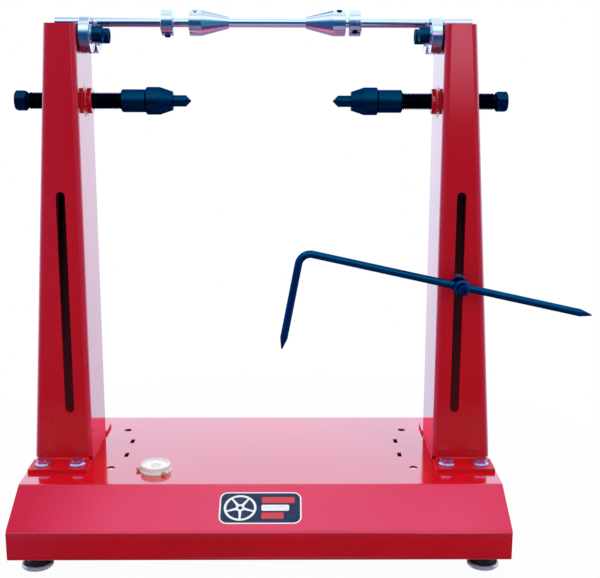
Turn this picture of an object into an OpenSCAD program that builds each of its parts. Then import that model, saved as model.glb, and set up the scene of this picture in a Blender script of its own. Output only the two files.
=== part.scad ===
// Wheel balancing stand: a folded base, two bolted columns, a test shaft on four rollers and two screw centres.
// Frame: X runs across the stand, Y runs from the front (-) to the back (+), Z is up and zero is the floor.

/* [Base] */
// Width of the base across the stand.
base_w = 500; // [420:1:700]
// Depth of the flat top plate of the base.
top_depth = 212; // [190:1:260]
// How far each sloping panel runs forward of the top plate.
slope_run = 56; // [40:1:80]
// How far each sloping panel drops.
slope_drop = 27; // [15:1:40]
// Height of the upright skirt under each slope.
skirt_h = 31.5; // [20:0.5:45]
// Sheet thickness of the base.
base_t = 2.5; // [2:0.5:4]
// Outer bend radius of the base sheet.
base_bend = 5; // [4:0.5:8]
// Depth of the flange folded inward under each skirt.
return_flange = 44; // [36:1:50]
// Height of the skirt's lower edge above the floor.
ground_gap = 17.5; // [16:0.5:26]

/* [Columns] */
// Height of a column above the top plate.
column_h = 465; // [380:1:600]
// Depth of a column from front to back.
column_depth = 88; // [80:1:96]
// Distance of a column's outer foot edge from the end of the base.
column_in = 1.5; // [1:0.5:20]
// Width of a column at its foot.
column_foot_w = 62.5; // [61:0.5:70]
// Width of a column at its top.
column_top_w = 32.3; // [29:0.1:45]
// Sheet thickness of a column.
column_t = 4; // [3:0.5:5]
// Outer bend radius of a column's upright edges.
column_bend = 6; // [6:0.5:8]
// Width of the lip turned in at a column's open outer side.
lip_w = 12; // [10:0.5:14]
// Length of the foot plates bent out at the front and back.
foot_len = 31.5; // [28:0.5:48]
// Inner radius of the bend between a column and its foot plates.
foot_bend = 2; // [1.5:0.5:4]
// Distance between neighbouring column bolts, which is also one width setting.
bolt_pitch = 36; // [32:1:40]
// Distance of a bolt row from the column's front or back.
bolt_out = 16; // [14:0.5:20]
// Width of the upright slot.
slot_w = 9.6; // [9:0.1:10]
// Height of the slot's lower end above the top plate.
slot_low = 56.5; // [40:0.5:120]
// Height of the slot's upper end above the top plate.
slot_high = 295.5; // [240:0.5:340]
// Distance of the slot's middle from the column's inner wall.
slot_in = 22; // [18:1:26]

/* [Rollers] */
// Outside diameter of a roller bearing.
roller_d = 37; // [34:0.5:40]
// Bore of a roller bearing.
roller_bore = 15; // [14:0.5:17]
// Width of a roller bearing.
roller_w = 11; // [10:0.5:12]
// Depth of the roller centres below the column's top edge.
roller_drop = 10; // [8:0.5:14]
// Height of the test shaft's axis above the roller centres.
shaft_rise = 13; // [11:0.5:15]

/* [Test shaft] */
// Diameter of the test shaft.
shaft_d = 10; // [8:0.5:12]
// How far the test shaft reaches past the inner wall of each column.
shaft_over = 32; // [26:0.5:60]
// Where the middle of the test shaft stands across the stand.
shaft_x = 2.4; // [-6:0.1:6]
// Diameter of the shaft cones and collars.
cone_d = 27.8; // [24:0.1:32]
// Diameter of a shaft cone's small end.
cone_small_d = 12.4; // [12:0.1:16]
// Length of a shaft cone.
cone_len = 41.2; // [36:0.1:46]
// Length of the plain part of a shaft cone.
cone_land = 13; // [12:0.1:15]
// Length of a collar.
collar_len = 13.2; // [12:0.1:15]
// Where the left cone's small end stands.
left_cone_x = -33.9; // [-40:0.1:-30]
// Where the right cone's small end stands.
right_cone_x = 46.1; // [40:0.1:50]
// Where the left collar's inner face stands.
left_collar_x = -91.2; // [-96:0.1:-88]
// Where the right collar's inner face stands.
right_collar_x = 90.4; // [89:0.1:96]

/* [Screw centres] */
// Depth of the screw centres below the column's top edge.
spindle_drop = 77.5; // [72:0.5:90]
// Thread diameter of the screws.
screw_d = 17.5; // [15:0.5:19]
// Width across the flats of a screw's hexagon.
screw_hex = 19; // [18:0.5:22]
// Length of a screw's hexagon.
screw_hex_len = 12.5; // [10:0.5:20]
// How far the outer end of each screw stands from the column's inner wall.
screw_out = 74; // [70:0.5:110]
// Outside diameter of a centre's housing.
housing_d = 24; // [22:0.5:26]
// Length of a centre's housing.
housing_len = 25.5; // [25:0.5:32]
// How far the inner end of each housing stands from the column's inner wall.
housing_in = 63.5; // [60:0.5:75]
// Largest diameter of a centre's cone.
centre_d = 29; // [26:0.5:34]
// Diameter of a centre cone's small end.
centre_small_d = 19.8; // [16:0.1:22]
// Length of a centre's cone.
centre_len = 28.3; // [26:0.1:32]
// Diameter of a centre's pin.
pin_d = 12; // [10:0.5:13]
// Length of a centre's pin beyond the cone, with its point.
pin_len = 19.2; // [16:0.1:24]

/* [Pointer] */
// Diameter of the pointer rod.
rod_d = 8; // [6:0.5:9]
// Length of the pointer's long leg from the corner.
long_leg = 313; // [280:1:360]
// Length of the pointer's short leg from the corner.
short_leg = 105.5; // [90:0.5:120]
// Angle between the pointer's two legs.
leg_angle = 88.5; // [85:0.5:95]
// Radius of the pointer's bend, to the middle of the rod.
rod_bend = 12.5; // [12:0.5:20]
// Slope of the pointer's long leg, down towards its free end.
pointer_tilt = 12.4; // [0:0.1:20]
// Distance along the long leg from the corner to the clamp.
clamp_at = 171; // [120:0.5:220]
// Height of the clamp's axis above the top plate.
clamp_h = 198.5; // [150:0.5:240]
// Diameter of the clamp body.
clamp_d = 17; // [16:0.5:20]
// Length of the clamp body in front of the column.
clamp_len = 23; // [22:0.5:28]

/* [Level and feet] */
// Distance of the spirit level from the left column's inner wall.
level_in = 72.3; // [60:0.1:110]
// Distance of the spirit level from the front edge of the top plate.
level_back = 38.7; // [30:0.1:80]
// Diameter of the spirit level's rim.
level_d = 33.5; // [30:0.5:36]
// Height of the spirit level above the plate.
level_h = 8; // [5:0.5:9]
// Distance of the feet from the ends of the base.
foot_in = 23; // [20:0.5:60]
// Distance of the feet from the front and the back of the base.
foot_back = 28; // [24:0.5:32]
// Diameter of a foot.
foot_d = 32; // [28:0.5:36]
// Thread diameter of a foot's stud.
stud_d = 10; // [8:0.5:12]

/* [Fits] */
// Radial clearance of a turning or sliding fit.
run_fit = 0.05; // [0.02:0.01:0.08]
// Radial clearance of a bolt in its hole.
bolt_fit = 0.5; // [0.3:0.05:0.6]
// Gap kept between parts that roll or pass close by.
near_gap = 0.3; // [0.25:0.05:0.5]

/* [Hidden] */
$fn = 96;
eps = 0.01;
plate_z = ground_gap + skirt_h + slope_drop;
half_w = base_w / 2;
half_top = top_depth / 2;
half_deep = half_top + slope_run;
half_col = column_depth / 2;
column_bottom_x = half_w - column_in;
column_inner_x = column_bottom_x - column_foot_w;
taper = atan((column_foot_w - column_top_w) / column_h);
bend_top = column_t + foot_bend;
relief_w = 0.6 * column_bend;
bolt_x1 = column_bottom_x - column_foot_w / 2 - bolt_pitch / 2;
bolt_x2 = bolt_x1 + bolt_pitch;
bolt_row = half_col + bolt_out;
tab_y = 21.75;
tab_len = 11.8;
slot_x = column_inner_x + slot_in;

left_cone_turn = 140;
right_cone_turn = 146;
left_collar_turn = 16;
right_collar_turn = 46;

roller_z = plate_z + column_h - roller_drop;
shaft_z = roller_z + shaft_rise;
roller_reach = (roller_d + shaft_d) / 2 + near_gap;
roller_y = sqrt(pow(roller_reach, 2) - pow(shaft_rise, 2));
bush_flange = 1.2;
bush_step = 0.3;
roller_x = column_inner_x - bush_flange - bush_step;
inner_ring_d = roller_bore + 5.6;
outer_ring_id = roller_d - 5.6;
ball_d = 6;
ball_count = 9;
ball_circle = (inner_ring_d + outer_ring_id) / 2;
shield_t = 0.5;
cap_d = 10;
cap_head_d = 16;
cap_head_h = 10;
cap_washer_t = 1;
cap_nut_h = 8;
cap_len = roller_w + bush_flange + bush_step + column_t + cap_washer_t + cap_nut_h + 3;

shaft_len = 2 * (column_inner_x + shaft_over);
spindle_z = plate_z + column_h - spindle_drop;
screw_end_x = column_inner_x + screw_out;
housing_x = column_inner_x - housing_in;
boss_proud = 7.3;
boss_d = screw_d + 9;
boss_neck_d = screw_d + 5.5;
boss_inside = 8;
boss_flare = 4.8;
screw_neck_d = screw_d - 2;
screw_neck_len = 3;
spigot_d = 12;
spigot_len = 10;
grub_d = 4;
groove_w = grub_d + 2 * near_gap;
groove_d = 9;
pin_tail_d = 9;
pin_tail_len = 12;
tail_hole_z = 8;
bush_d = 14;
point_len = 5.5;

clamp_z = plate_z + clamp_h;
clamp_face_t = 1.6;
clamp_face_d = clamp_d + 1;
clamp_seat_y = -half_col - clamp_face_t;
clamp_y = clamp_seat_y - clamp_len / 2;
corner_x = slot_x - clamp_at * cos(pointer_tilt);
corner_z = clamp_z + clamp_at * sin(pointer_tilt);
rod_point = 12;
rod_tip_d = 1.6;
clamp_stud_d = 8;
clamp_washer_d = 20;
clamp_washer_t = 1.6;
clamp_nut_h = 6.5;
clamp_screw_d = 6;
clamp_head_d = 10;
clamp_head_h = 6;
clamp_head_off = 2;

bolt_d = 8;
bolt_hex = 13;
bolt_flange_d = 17.6;
bolt_head_h = 5.7;
nut_h = 7.5;

level_x = level_in - column_inner_x;
level_y = level_back - half_top;
level_hole_d = 24;
level_deep = 9;
level_screw_d = 3;
level_screw_at = level_d / 2 + 1.85;
level_head_d = 4.8;
level_turn = 185;
foot_x = half_w - foot_in;
foot_y = half_deep - foot_back;
stud_len = 46;
weld_nut_h = 8;
lock_nut_h = 5;
stud_hex = 17;
pad_h = 9;
ring_h = 4.6;

FOOT_CORNERS = [[-1, -1], [1, -1], [-1, 1], [1, 1]];

red = [0.72, 0.06, 0.10];
black = [0.05, 0.07, 0.10];
steel = [0.80, 0.82, 0.85];
zinc = [0.72, 0.76, 0.84];
rubber = [0.04, 0.04, 0.045];
clear = [0.92, 0.96, 0.98];
brass = [0.78, 0.60, 0.30];

// Unit normal that points into a counter-clockwise outline from its side a to b.
function inward(a, b) = [a[1] - b[1], b[0] - a[0]] / norm(b - a);

// Corner i of outline p, moved inward by d from both of its sides.
function inset_corner(p, i, d) =
    let (
        n = len(p),
        n1 = inward(p[(i + n - 1) % n], p[i]),
        n2 = inward(p[i], p[(i + 1) % n])
    )
    p[i] + d * (n1 + n2) / (1 + n1 * n2);

// The whole outline moved inward by d.
function inset(p, d) = [for (i = [0:len(p) - 1]) inset_corner(p, i, d)];

// A convex outline whose corner i is rounded to radius r[i].
module rounded(p, r) {
    n = len(p);
    polygon([
        for (i = [0:n - 1])
            each [
                inset_corner(p, i, r[i]) - r[i] * inward(p[(i + n - 1) % n], p[i]),
                inset_corner(p, i, r[i]) - r[i] * inward(p[i], p[(i + 1) % n])
            ]
    ]);
    for (i = [0:n - 1])
        translate(inset_corner(p, i, r[i]))
            circle(r[i]);
}

// Turns a shape built along +Z so that it lies along +X.
module along_x() {
    rotate([0, 90, 0])
        children();
}

// Draws the children on the left (-1) or on the right (1) of the stand, from a right-hand shape.
module on_side(side) {
    if (side < 0)
        mirror([1, 0, 0])
            children();
    else
        children();
}

// A hexagonal prism with one chamfered end, across flats af.
module hexagon(af, h, chamfer = 0.8) {
    intersection() {
        cylinder(d = af / cos(30), h = h, $fn = 6);
        cylinder(d1 = af / cos(30) + 2 * h, d2 = af - chamfer, h = h + chamfer);
    }
}

// A plain hexagonal nut.
module nut(af, h, bore) {
    difference() {
        cylinder(d = af / cos(30), h = h, $fn = 6);
        translate([0, 0, -1])
            cylinder(r = bore, h = h + 2);
    }
}

// The base's profile in depth and height, with the outside moved in by d.
module base_profile(d) {
    p = inset([
        [-half_deep, ground_gap],
        [half_deep, ground_gap],
        [half_deep, ground_gap + skirt_h],
        [half_top, plate_z],
        [-half_top, plate_z],
        [-half_deep, ground_gap + skirt_h]
    ], d);
    r = base_bend - d;
    rounded(p, [r, r, r, r, r, r]);
}

// The folded base with its end panels, inward flanges and holes.
module base_shell() {
    color(red)
    difference() {
        translate([-half_w, 0, 0])
            rotate([90, 0, 90])
                linear_extrude(base_w)
                    base_profile(0);
        translate([-half_w + base_t, 0, 0])
            rotate([90, 0, 90])
                linear_extrude(base_w - 2 * base_t)
                    base_profile(base_t);
        translate([-half_w + base_t, -half_deep + return_flange, 0])
            cube([base_w - 2 * base_t, 2 * (half_deep - return_flange), ground_gap + 2 * base_t]);
        for (side = [-1, 1]) {
            for (n = [-1, 0, 1], row = [-1, 1])
                translate([side * (bolt_x1 + n * bolt_pitch), row * bolt_row, plate_z - 2 * base_t])
                    cylinder(r = bolt_d / 2 + bolt_fit, h = 4 * base_t);
            for (n = [0, 1], row = [-1, 1])
                translate([
                    side * (column_inner_x + column_t / 2 - n * bolt_pitch),
                    row * tab_y,
                    plate_z
                ])
                    cube([column_t + 2 * near_gap, tab_len + 2 * near_gap, 4 * base_t], center = true);
        }
        translate([level_x, level_y, plate_z - 2 * base_t]) {
            cylinder(d = level_hole_d + 2 * near_gap, h = 4 * base_t);
            for (turn = [0, 120, 240])
                rotate([0, 0, level_turn + turn])
                    translate([level_screw_at, 0, 0])
                        cylinder(r = level_screw_d / 2 + run_fit, h = 4 * base_t);
        }
        for (c = FOOT_CORNERS)
            translate([c[0] * foot_x, c[1] * foot_y, ground_gap - base_t])
                cylinder(r = stud_d / 2 + bolt_fit, h = 3 * base_t);
    }
}

// Where a column's sloping outer side stands at height z.
function outer_x(z) = column_bottom_x - (column_foot_w - column_top_w) * z / column_h;

// A column's tapered block, moved in by side_in at the sides, with half its depth.
module column_block(side_in, half_depth) {
    z0 = -20;
    z1 = column_h + 20;
    translate([0, half_depth, 0])
        rotate([90, 0, 0])
            linear_extrude(2 * half_depth)
                polygon([
                    [column_inner_x + side_in, z0],
                    [outer_x(z0) - side_in / cos(taper), z0],
                    [outer_x(z1) - side_in / cos(taper), z1],
                    [column_inner_x + side_in, z1]
                ]);
}

// The block with its four upright edges rounded, moved in by d all round.
module column_round_block(d) {
    r = column_bend - d;
    z0 = -20;
    h = column_h + 40;
    column_block(d + r, half_col - d);
    column_block(d, half_col - d - r);
    for (y = [-half_col + d + r, half_col - d - r]) {
        translate([column_inner_x + d + r, y, z0])
            cylinder(r = r, h = h);
        translate([outer_x(z0) - (d + r) / cos(taper), y, z0])
            rotate([0, -taper, 0])
                cylinder(r = r, h = h / cos(taper));
    }
}

// One foot plate with the bend that joins it to the column's front.
module foot_plate() {
    difference() {
        union() {
            translate([column_inner_x, -half_col - foot_len, 0])
                cube([column_foot_w, foot_len - foot_bend, column_t]);
            intersection() {
                translate([column_inner_x + relief_w, -half_col - foot_bend, bend_top])
                    along_x()
                        difference() {
                            cylinder(r = bend_top, h = column_foot_w - 2 * relief_w);
                            translate([0, 0, -1])
                                cylinder(r = foot_bend, h = column_foot_w);
                        }
                translate([column_inner_x, -half_col - foot_bend, 0])
                    cube([column_foot_w, bend_top, bend_top]);
            }
        }
        for (x = [bolt_x1, bolt_x2])
            translate([x, -bolt_row, -1])
                cylinder(r = bolt_d / 2 + bolt_fit, h = column_t + 2);
    }
}

// A right-hand column: folded C-section with lips, foot plates, tabs, slot and holes.
module column() {
    translate([0, 0, plate_z])
    color(red) {
        difference() {
            intersection() {
                column_round_block(0);
                translate([column_inner_x - 1, -half_col - 1, 0])
                    cube([column_foot_w + 2, column_depth + 2, column_h]);
            }
            column_round_block(column_t);
            translate([column_inner_x + column_t + column_bend, -half_col + lip_w, -1])
                cube([column_foot_w, column_depth - 2 * lip_w, column_h + 2]);
            for (front = [-1, 1])
                translate([column_inner_x - 1, front * half_col, 0])
                    cube([2 * column_foot_w, 2 * column_bend, 2 * bend_top], center = true);
            translate([column_inner_x + column_t + eps, -half_col - 1, -1])
                cube([column_foot_w, column_depth + 2, bend_top + 1]);
            translate([column_inner_x - 1, 0, column_h - roller_drop + shaft_rise])
                along_x()
                    cylinder(d = shaft_d + 6, h = column_t + 2);
            for (y = [-roller_y, roller_y])
                translate([column_inner_x - 1, y, column_h - roller_drop])
                    along_x()
                        cylinder(r = cap_d / 2 + bolt_fit, h = column_t + 2);
            translate([column_inner_x - 1, 0, column_h - spindle_drop])
                along_x()
                    cylinder(r = boss_neck_d / 2 + run_fit, h = column_t + 2);
            translate([slot_x, -half_col - 1, 0])
                rotate([-90, 0, 0])
                    linear_extrude(column_t + 2) {
                        for (z = [slot_low + slot_w / 2, slot_high - slot_w / 2])
                            translate([0, -z])
                                circle(d = slot_w);
                        translate([-slot_w / 2, -slot_high + slot_w / 2])
                            square([slot_w, slot_high - slot_low - slot_w]);
                    }
        }
        foot_plate();
        mirror([0, 1, 0])
            foot_plate();
        for (y = [-tab_y, tab_y])
            translate([column_inner_x, y - tab_len / 2, -base_t])
                cube([column_t, tab_len, base_t + eps]);
    }
}

module left_column() {
    on_side(-1)
        column();
}

module right_column() {
    on_side(1)
        column();
}

// The threaded bosses set into the columns, with the flare of the weld round each.
module spindle_bosses() {
    color(red)
    for (side = [-1, 1])
        on_side(side)
            translate([column_inner_x - boss_proud, 0, spindle_z])
                along_x()
                    rotate_extrude()
                        polygon([
                            [screw_d / 2 + run_fit, 0],
                            [boss_d / 2 - 0.6, 0],
                            [boss_d / 2, 0.6],
                            [boss_d / 2, boss_proud - 2.4],
                            [boss_d / 2 + 1.2, boss_proud - 1.2],
                            [boss_d / 2 + boss_flare, boss_proud],
                            [boss_neck_d / 2, boss_proud],
                            [boss_neck_d / 2, boss_proud + column_t + boss_inside],
                            [screw_d / 2 + run_fit, boss_proud + column_t + boss_inside]
                        ]);
}

// A flanged hexagon bolt, head up, with its seat at zero.
module flange_bolt() {
    cylinder(d = bolt_flange_d, h = 1);
    translate([0, 0, 1])
        cylinder(d1 = bolt_flange_d, d2 = bolt_hex + 1, h = 1.4);
    translate([0, 0, 1])
        hexagon(bolt_hex, bolt_head_h - 1);
    translate([0, 0, -column_t - base_t - nut_h - 2])
        cylinder(d = bolt_d, h = column_t + base_t + nut_h + 2.5);
}

// Places the children at the eight column bolts.
module at_column_bolts() {
    for (side = [-1, 1], x = [bolt_x1, bolt_x2], row = [-1, 1])
        translate([side * x, row * bolt_row, plate_z])
            children();
}

module column_bolts() {
    color(zinc)
    at_column_bolts()
        translate([0, 0, column_t])
            flange_bolt();
}

module column_nuts() {
    color(zinc)
    at_column_bolts()
        translate([0, 0, -base_t - nut_h])
            difference() {
                union() {
                    cylinder(d = bolt_hex / cos(30), h = nut_h, $fn = 6);
                    translate([0, 0, nut_h - 1.2])
                        cylinder(d = bolt_flange_d, h = 1.2);
                }
                translate([0, 0, -1])
                    cylinder(r = bolt_d / 2 + run_fit, h = nut_h + 2);
            }
}

// Places the children at one roller, with +Z pointing from the roller's inner face to the column.
module at_roller(side, row) {
    on_side(side)
        translate([roller_x - roller_w, row * roller_y, roller_z])
            along_x()
                children();
}

// Places the children at all four rollers.
module at_rollers() {
    for (side = [-1, 1], row = [-1, 1])
        at_roller(side, row)
            children();
}

// The stepped bushes that hold the bearings off the columns.
module roller_bushes() {
    color(black)
    at_rollers()
        rotate_extrude()
            polygon([
                [cap_d / 2 + run_fit, eps],
                [roller_bore / 2 - run_fit / 2, eps],
                [roller_bore / 2 - run_fit / 2, roller_w],
                [inner_ring_d / 2 - 0.3, roller_w],
                [inner_ring_d / 2 - 0.3, roller_w + bush_step],
                [outer_ring_id / 2 - 0.8, roller_w + bush_step],
                [outer_ring_id / 2 - 0.8, roller_w + bush_step + bush_flange],
                [cap_d / 2 + run_fit, roller_w + bush_step + bush_flange]
            ]);
}

// The still inner rings of the bearings, with the ball track in each.
module roller_inner_rings() {
    color(steel)
    at_rollers()
        rotate_extrude()
            difference() {
                translate([roller_bore / 2 + run_fit / 2, 0])
                    square([(inner_ring_d - roller_bore) / 2 - run_fit / 2, roller_w]);
                translate([ball_circle / 2, roller_w / 2])
                    circle(d = ball_d + 2 * run_fit);
            }
}

module roller_balls() {
    color(steel)
    at_rollers()
        for (i = [0:ball_count - 1])
            rotate([0, 0, 360 * i / ball_count])
                translate([ball_circle / 2, 0, roller_w / 2])
                    sphere(d = ball_d);
}

// The turning outer ring of one bearing, with its two dust shields.
module roller(side, row) {
    color(steel)
    at_roller(side, row)
        rotate_extrude() {
            difference() {
                translate([outer_ring_id / 2, 0])
                    square([(roller_d - outer_ring_id) / 2, roller_w]);
                translate([ball_circle / 2, roller_w / 2])
                    circle(d = ball_d + 2 * run_fit);
                for (z = [0, roller_w])
                    translate([roller_d / 2, z])
                        rotate(45)
                            square(0.8, center = true);
            }
            for (z = [0.4, roller_w - 0.4 - shield_t])
                translate([inner_ring_d / 2 + near_gap, z])
                    square([(outer_ring_id - inner_ring_d) / 2 - near_gap + 0.3, shield_t]);
        }
}

module left_front_roller() {
    roller(-1, -1);
}

module left_rear_roller() {
    roller(-1, 1);
}

module right_front_roller() {
    roller(1, -1);
}

module right_rear_roller() {
    roller(1, 1);
}

module roller_washers() {
    color(zinc)
    at_rollers()
        translate([0, 0, -cap_washer_t])
            difference() {
                cylinder(d = inner_ring_d - 0.6, h = cap_washer_t);
                translate([0, 0, -1])
                    cylinder(r = cap_d / 2 + run_fit, h = cap_washer_t + 2);
            }
}

// The black socket cap screws that carry the bearings.
module roller_screws() {
    color(black)
    at_rollers()
        translate([0, 0, -cap_washer_t])
            difference() {
                union() {
                    translate([0, 0, -cap_head_h])
                        cylinder(d1 = cap_head_d - 1.2, d2 = cap_head_d, h = 0.6);
                    translate([0, 0, 0.6 - cap_head_h])
                        cylinder(d = cap_head_d, h = cap_head_h - 0.6);
                    translate([0, 0, -eps])
                        cylinder(d = cap_d, h = cap_len);
                }
                translate([0, 0, -cap_head_h - 1])
                    cylinder(d = 8 / cos(30), h = 6, $fn = 6);
            }
}

module roller_nuts() {
    color(zinc)
    at_rollers()
        translate([0, 0, roller_w + bush_step + bush_flange + column_t])
            nut(stud_hex, cap_nut_h, cap_d / 2 + run_fit);
}

// The ground shaft that the wheel turns on when it is balanced.
module test_shaft() {
    color(steel)
    translate([shaft_x - shaft_len / 2, 0, shaft_z])
        along_x()
            rotate_extrude()
                polygon([
                    [0, 0],
                    [shaft_d / 2 - 0.8, 0],
                    [shaft_d / 2, 0.8],
                    [shaft_d / 2, shaft_len - 0.8],
                    [shaft_d / 2 - 0.8, shaft_len],
                    [0, shaft_len]
                ]);
}

// A shaft cone with its small end at zero, drilled for the shaft and for its grub screw.
module shaft_cone(grub_turn) {
    difference() {
        rotate_extrude()
            polygon([
                [shaft_d / 2 + run_fit, 0],
                [cone_small_d / 2, 0],
                [cone_d / 2, cone_len - cone_land],
                [cone_d / 2, cone_len - 0.6],
                [cone_d / 2 - 0.6, cone_len],
                [shaft_d / 2 + run_fit, cone_len]
            ]);
        rotate([0, 0, grub_turn])
            translate([0, 0, cone_len - cone_land / 2])
                along_x()
                    cylinder(d = clamp_screw_d + 2 * run_fit, h = cone_d);
    }
}

// A collar with its inner face at zero.
module collar(grub_turn) {
    difference() {
        rotate_extrude()
            polygon([
                [shaft_d / 2 + run_fit, 0],
                [cone_d / 2 - 1, 0],
                [cone_d / 2, 1],
                [cone_d / 2, collar_len - 1],
                [cone_d / 2 - 1, collar_len],
                [shaft_d / 2 + run_fit, collar_len]
            ]);
        rotate([0, 0, grub_turn])
            translate([0, 0, collar_len / 2])
                along_x()
                    cylinder(d = clamp_screw_d + 2 * run_fit, h = cone_d);
    }
}

// A short screw with a hexagon socket, its inner end at zero along +Z.
module grub(d, h, socket) {
    difference() {
        cylinder(d = d, h = h);
        translate([0, 0, h - 0.4 * h])
            cylinder(d = socket / cos(30), h = h, $fn = 6);
    }
}

// Places the children on the shaft at x, facing outward to the given side.
module on_shaft(side, x) {
    translate([x, 0, shaft_z])
        rotate([0, side * 90, 0])
            children();
}

// Turn about a part's own axis that brings a hole from straight down round to the front.
function grub_angle(side, turn) = side > 0 ? -turn : 180 + turn;

module left_shaft_cone() {
    color(steel)
    on_shaft(-1, left_cone_x)
        shaft_cone(grub_angle(-1, left_cone_turn));
}

module right_shaft_cone() {
    color(steel)
    on_shaft(1, right_cone_x)
        shaft_cone(grub_angle(1, right_cone_turn));
}

module left_collar() {
    color(steel)
    on_shaft(-1, left_collar_x)
        collar(grub_angle(-1, left_collar_turn));
}

module right_collar() {
    color(steel)
    on_shaft(1, right_collar_x)
        collar(grub_angle(1, right_collar_turn));
}

// A grub screw set at distance z along a cone or collar, at the given turn, with length h.
module shaft_grub(side, x, z, turn, h) {
    color(black)
    on_shaft(side, x)
        rotate([0, 0, grub_angle(side, turn)])
            translate([shaft_d / 2 + near_gap, 0, z])
                along_x()
                    grub(clamp_screw_d, h, 3);
}

module left_cone_grub() {
    shaft_grub(-1, left_cone_x, cone_len - cone_land / 2, left_cone_turn, 8);
}

module right_cone_grub() {
    shaft_grub(1, right_cone_x, cone_len - cone_land / 2, right_cone_turn, 8);
}

module left_collar_grub() {
    shaft_grub(-1, left_collar_x, collar_len / 2, left_collar_turn, 10);
}

module right_collar_grub() {
    shaft_grub(1, right_collar_x, collar_len / 2, right_collar_turn, 8);
}

// Places the children on a screw's axis, with +Z pointing outward from distance x.
module on_spindle(side, x) {
    on_side(side)
        translate([x, 0, spindle_z])
            along_x()
                children();
}

// The long screw: spigot in the housing, thread through the boss, neck and hexagon outside.
module spindle_screw(side) {
    seat_x = housing_x + housing_len;
    thread_len = screw_end_x - screw_hex_len - screw_neck_len - seat_x;
    color(black)
    on_spindle(side, seat_x) {
        rotate_extrude()
            polygon([
                [0, -spigot_len],
                [spigot_d / 2, -spigot_len],
                [spigot_d / 2, -spigot_len / 2 - groove_w / 2],
                [groove_d / 2, -spigot_len / 2 - groove_w / 2],
                [groove_d / 2, -spigot_len / 2 + groove_w / 2],
                [spigot_d / 2, -spigot_len / 2 + groove_w / 2],
                [spigot_d / 2, run_fit],
                [screw_d / 2 - 0.8, run_fit],
                [screw_d / 2, 0.8],
                [screw_d / 2, thread_len],
                [screw_neck_d / 2, thread_len + 0.9],
                [screw_neck_d / 2, thread_len + screw_neck_len + eps],
                [0, thread_len + screw_neck_len + eps]
            ]);
        translate([0, 0, thread_len + screw_neck_len])
            rotate([0, 0, 15])
                intersection() {
                    hexagon(screw_hex, screw_hex_len, 2);
                    cylinder(d1 = screw_hex - 1, d2 = screw_hex + 2 * screw_hex_len, h = screw_hex_len);
                }
    }
}

module left_screw() {
    spindle_screw(-1);
}

module right_screw() {
    spindle_screw(1);
}

// The turned housing that the screw pushes and that holds the centre pin in a bush.
module housing(side) {
    color(black)
    on_spindle(side, housing_x)
        difference() {
            rotate_extrude()
                polygon([
                    [bush_d / 2 + run_fit, 0],
                    [housing_d / 2 - 0.6, 0],
                    [housing_d / 2, 0.6],
                    [housing_d / 2, housing_len - 1],
                    [housing_d / 2 - 1, housing_len],
                    [spigot_d / 2 + run_fit, housing_len],
                    [spigot_d / 2 + run_fit, housing_len - spigot_len - near_gap],
                    [bush_d / 2 + run_fit, housing_len - spigot_len - near_gap]
                ]);
            rotate([0, 0, 90]) {
                translate([0, 0, housing_len - spigot_len / 2])
                    along_x()
                        cylinder(d = grub_d + 2 * run_fit, h = housing_d);
                translate([0, 0, tail_hole_z])
                    along_x()
                        cylinder(d = grub_d + 2 * run_fit, h = housing_d);
            }
        }
}

module left_housing() {
    housing(-1);
}

module right_housing() {
    housing(1);
}

// The brass bush in a housing, with a radial hole for the lower grub screw.
module housing_bush(side) {
    color(brass)
    on_spindle(side, housing_x)
        difference() {
            rotate_extrude()
                polygon([
                    [pin_tail_d / 2 + run_fit, 0],
                    [bush_d / 2, 0],
                    [bush_d / 2, pin_tail_len + 1],
                    [pin_tail_d / 2 + run_fit, pin_tail_len + 1]
                ]);
            rotate([0, 0, 90])
                translate([0, 0, tail_hole_z])
                    along_x()
                        cylinder(d = grub_d + 2 * run_fit, h = housing_d);
        }
}

module left_housing_bush() {
    housing_bush(-1);
}

module right_housing_bush() {
    housing_bush(1);
}

// The two small grub screws that keep the screw and the pin in a housing.
module housing_grubs(side) {
    color(black)
    on_spindle(side, housing_x)
        rotate([0, 0, 90]) {
            translate([groove_d / 2 + near_gap, 0, housing_len - spigot_len / 2])
                along_x()
                    grub(grub_d, (housing_d - groove_d) / 2 - near_gap - 0.6, 2);
            translate([pin_tail_d / 2 - 1 + near_gap, 0, tail_hole_z])
                along_x()
                    grub(grub_d, (housing_d - pin_tail_d) / 2 + 1 - near_gap - 0.6, 2);
        }
}

module left_housing_grubs() {
    housing_grubs(-1);
}

module right_housing_grubs() {
    housing_grubs(1);
}

// The cone of a centre, pressed on its pin; zero is the housing's inner end.
module centre_cone(side) {
    color(black)
    on_spindle(side, housing_x - near_gap)
        rotate_extrude()
            polygon([
                [pin_d / 2, 0],
                [centre_d / 2 - 1, 0],
                [centre_d / 2, -1],
                [centre_d / 2, -centre_len / 2],
                [centre_small_d / 2, -centre_len + near_gap],
                [pin_d / 2, -centre_len + near_gap]
            ]);
}

module left_centre_cone() {
    centre_cone(-1);
}

module right_centre_cone() {
    centre_cone(1);
}

// The pointed pin of a centre, with its grooved tail in the bush.
module centre_pin(side) {
    color(black)
    on_spindle(side, housing_x)
        rotate_extrude()
            polygon([
                [0, pin_tail_len],
                [pin_tail_d / 2, pin_tail_len],
                [pin_tail_d / 2, tail_hole_z + grub_d / 2 + near_gap],
                [pin_tail_d / 2 - 1, tail_hole_z + grub_d / 2 + near_gap],
                [pin_tail_d / 2 - 1, tail_hole_z - grub_d / 2 - near_gap],
                [pin_tail_d / 2, tail_hole_z - grub_d / 2 - near_gap],
                [pin_tail_d / 2, -near_gap],
                [pin_d / 2, -near_gap],
                [pin_d / 2, -centre_len - pin_len + point_len],
                [0.5, -centre_len - pin_len],
                [0, -centre_len - pin_len]
            ]);
}

module left_centre_pin() {
    centre_pin(-1);
}

module right_centre_pin() {
    centre_pin(1);
}

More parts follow.
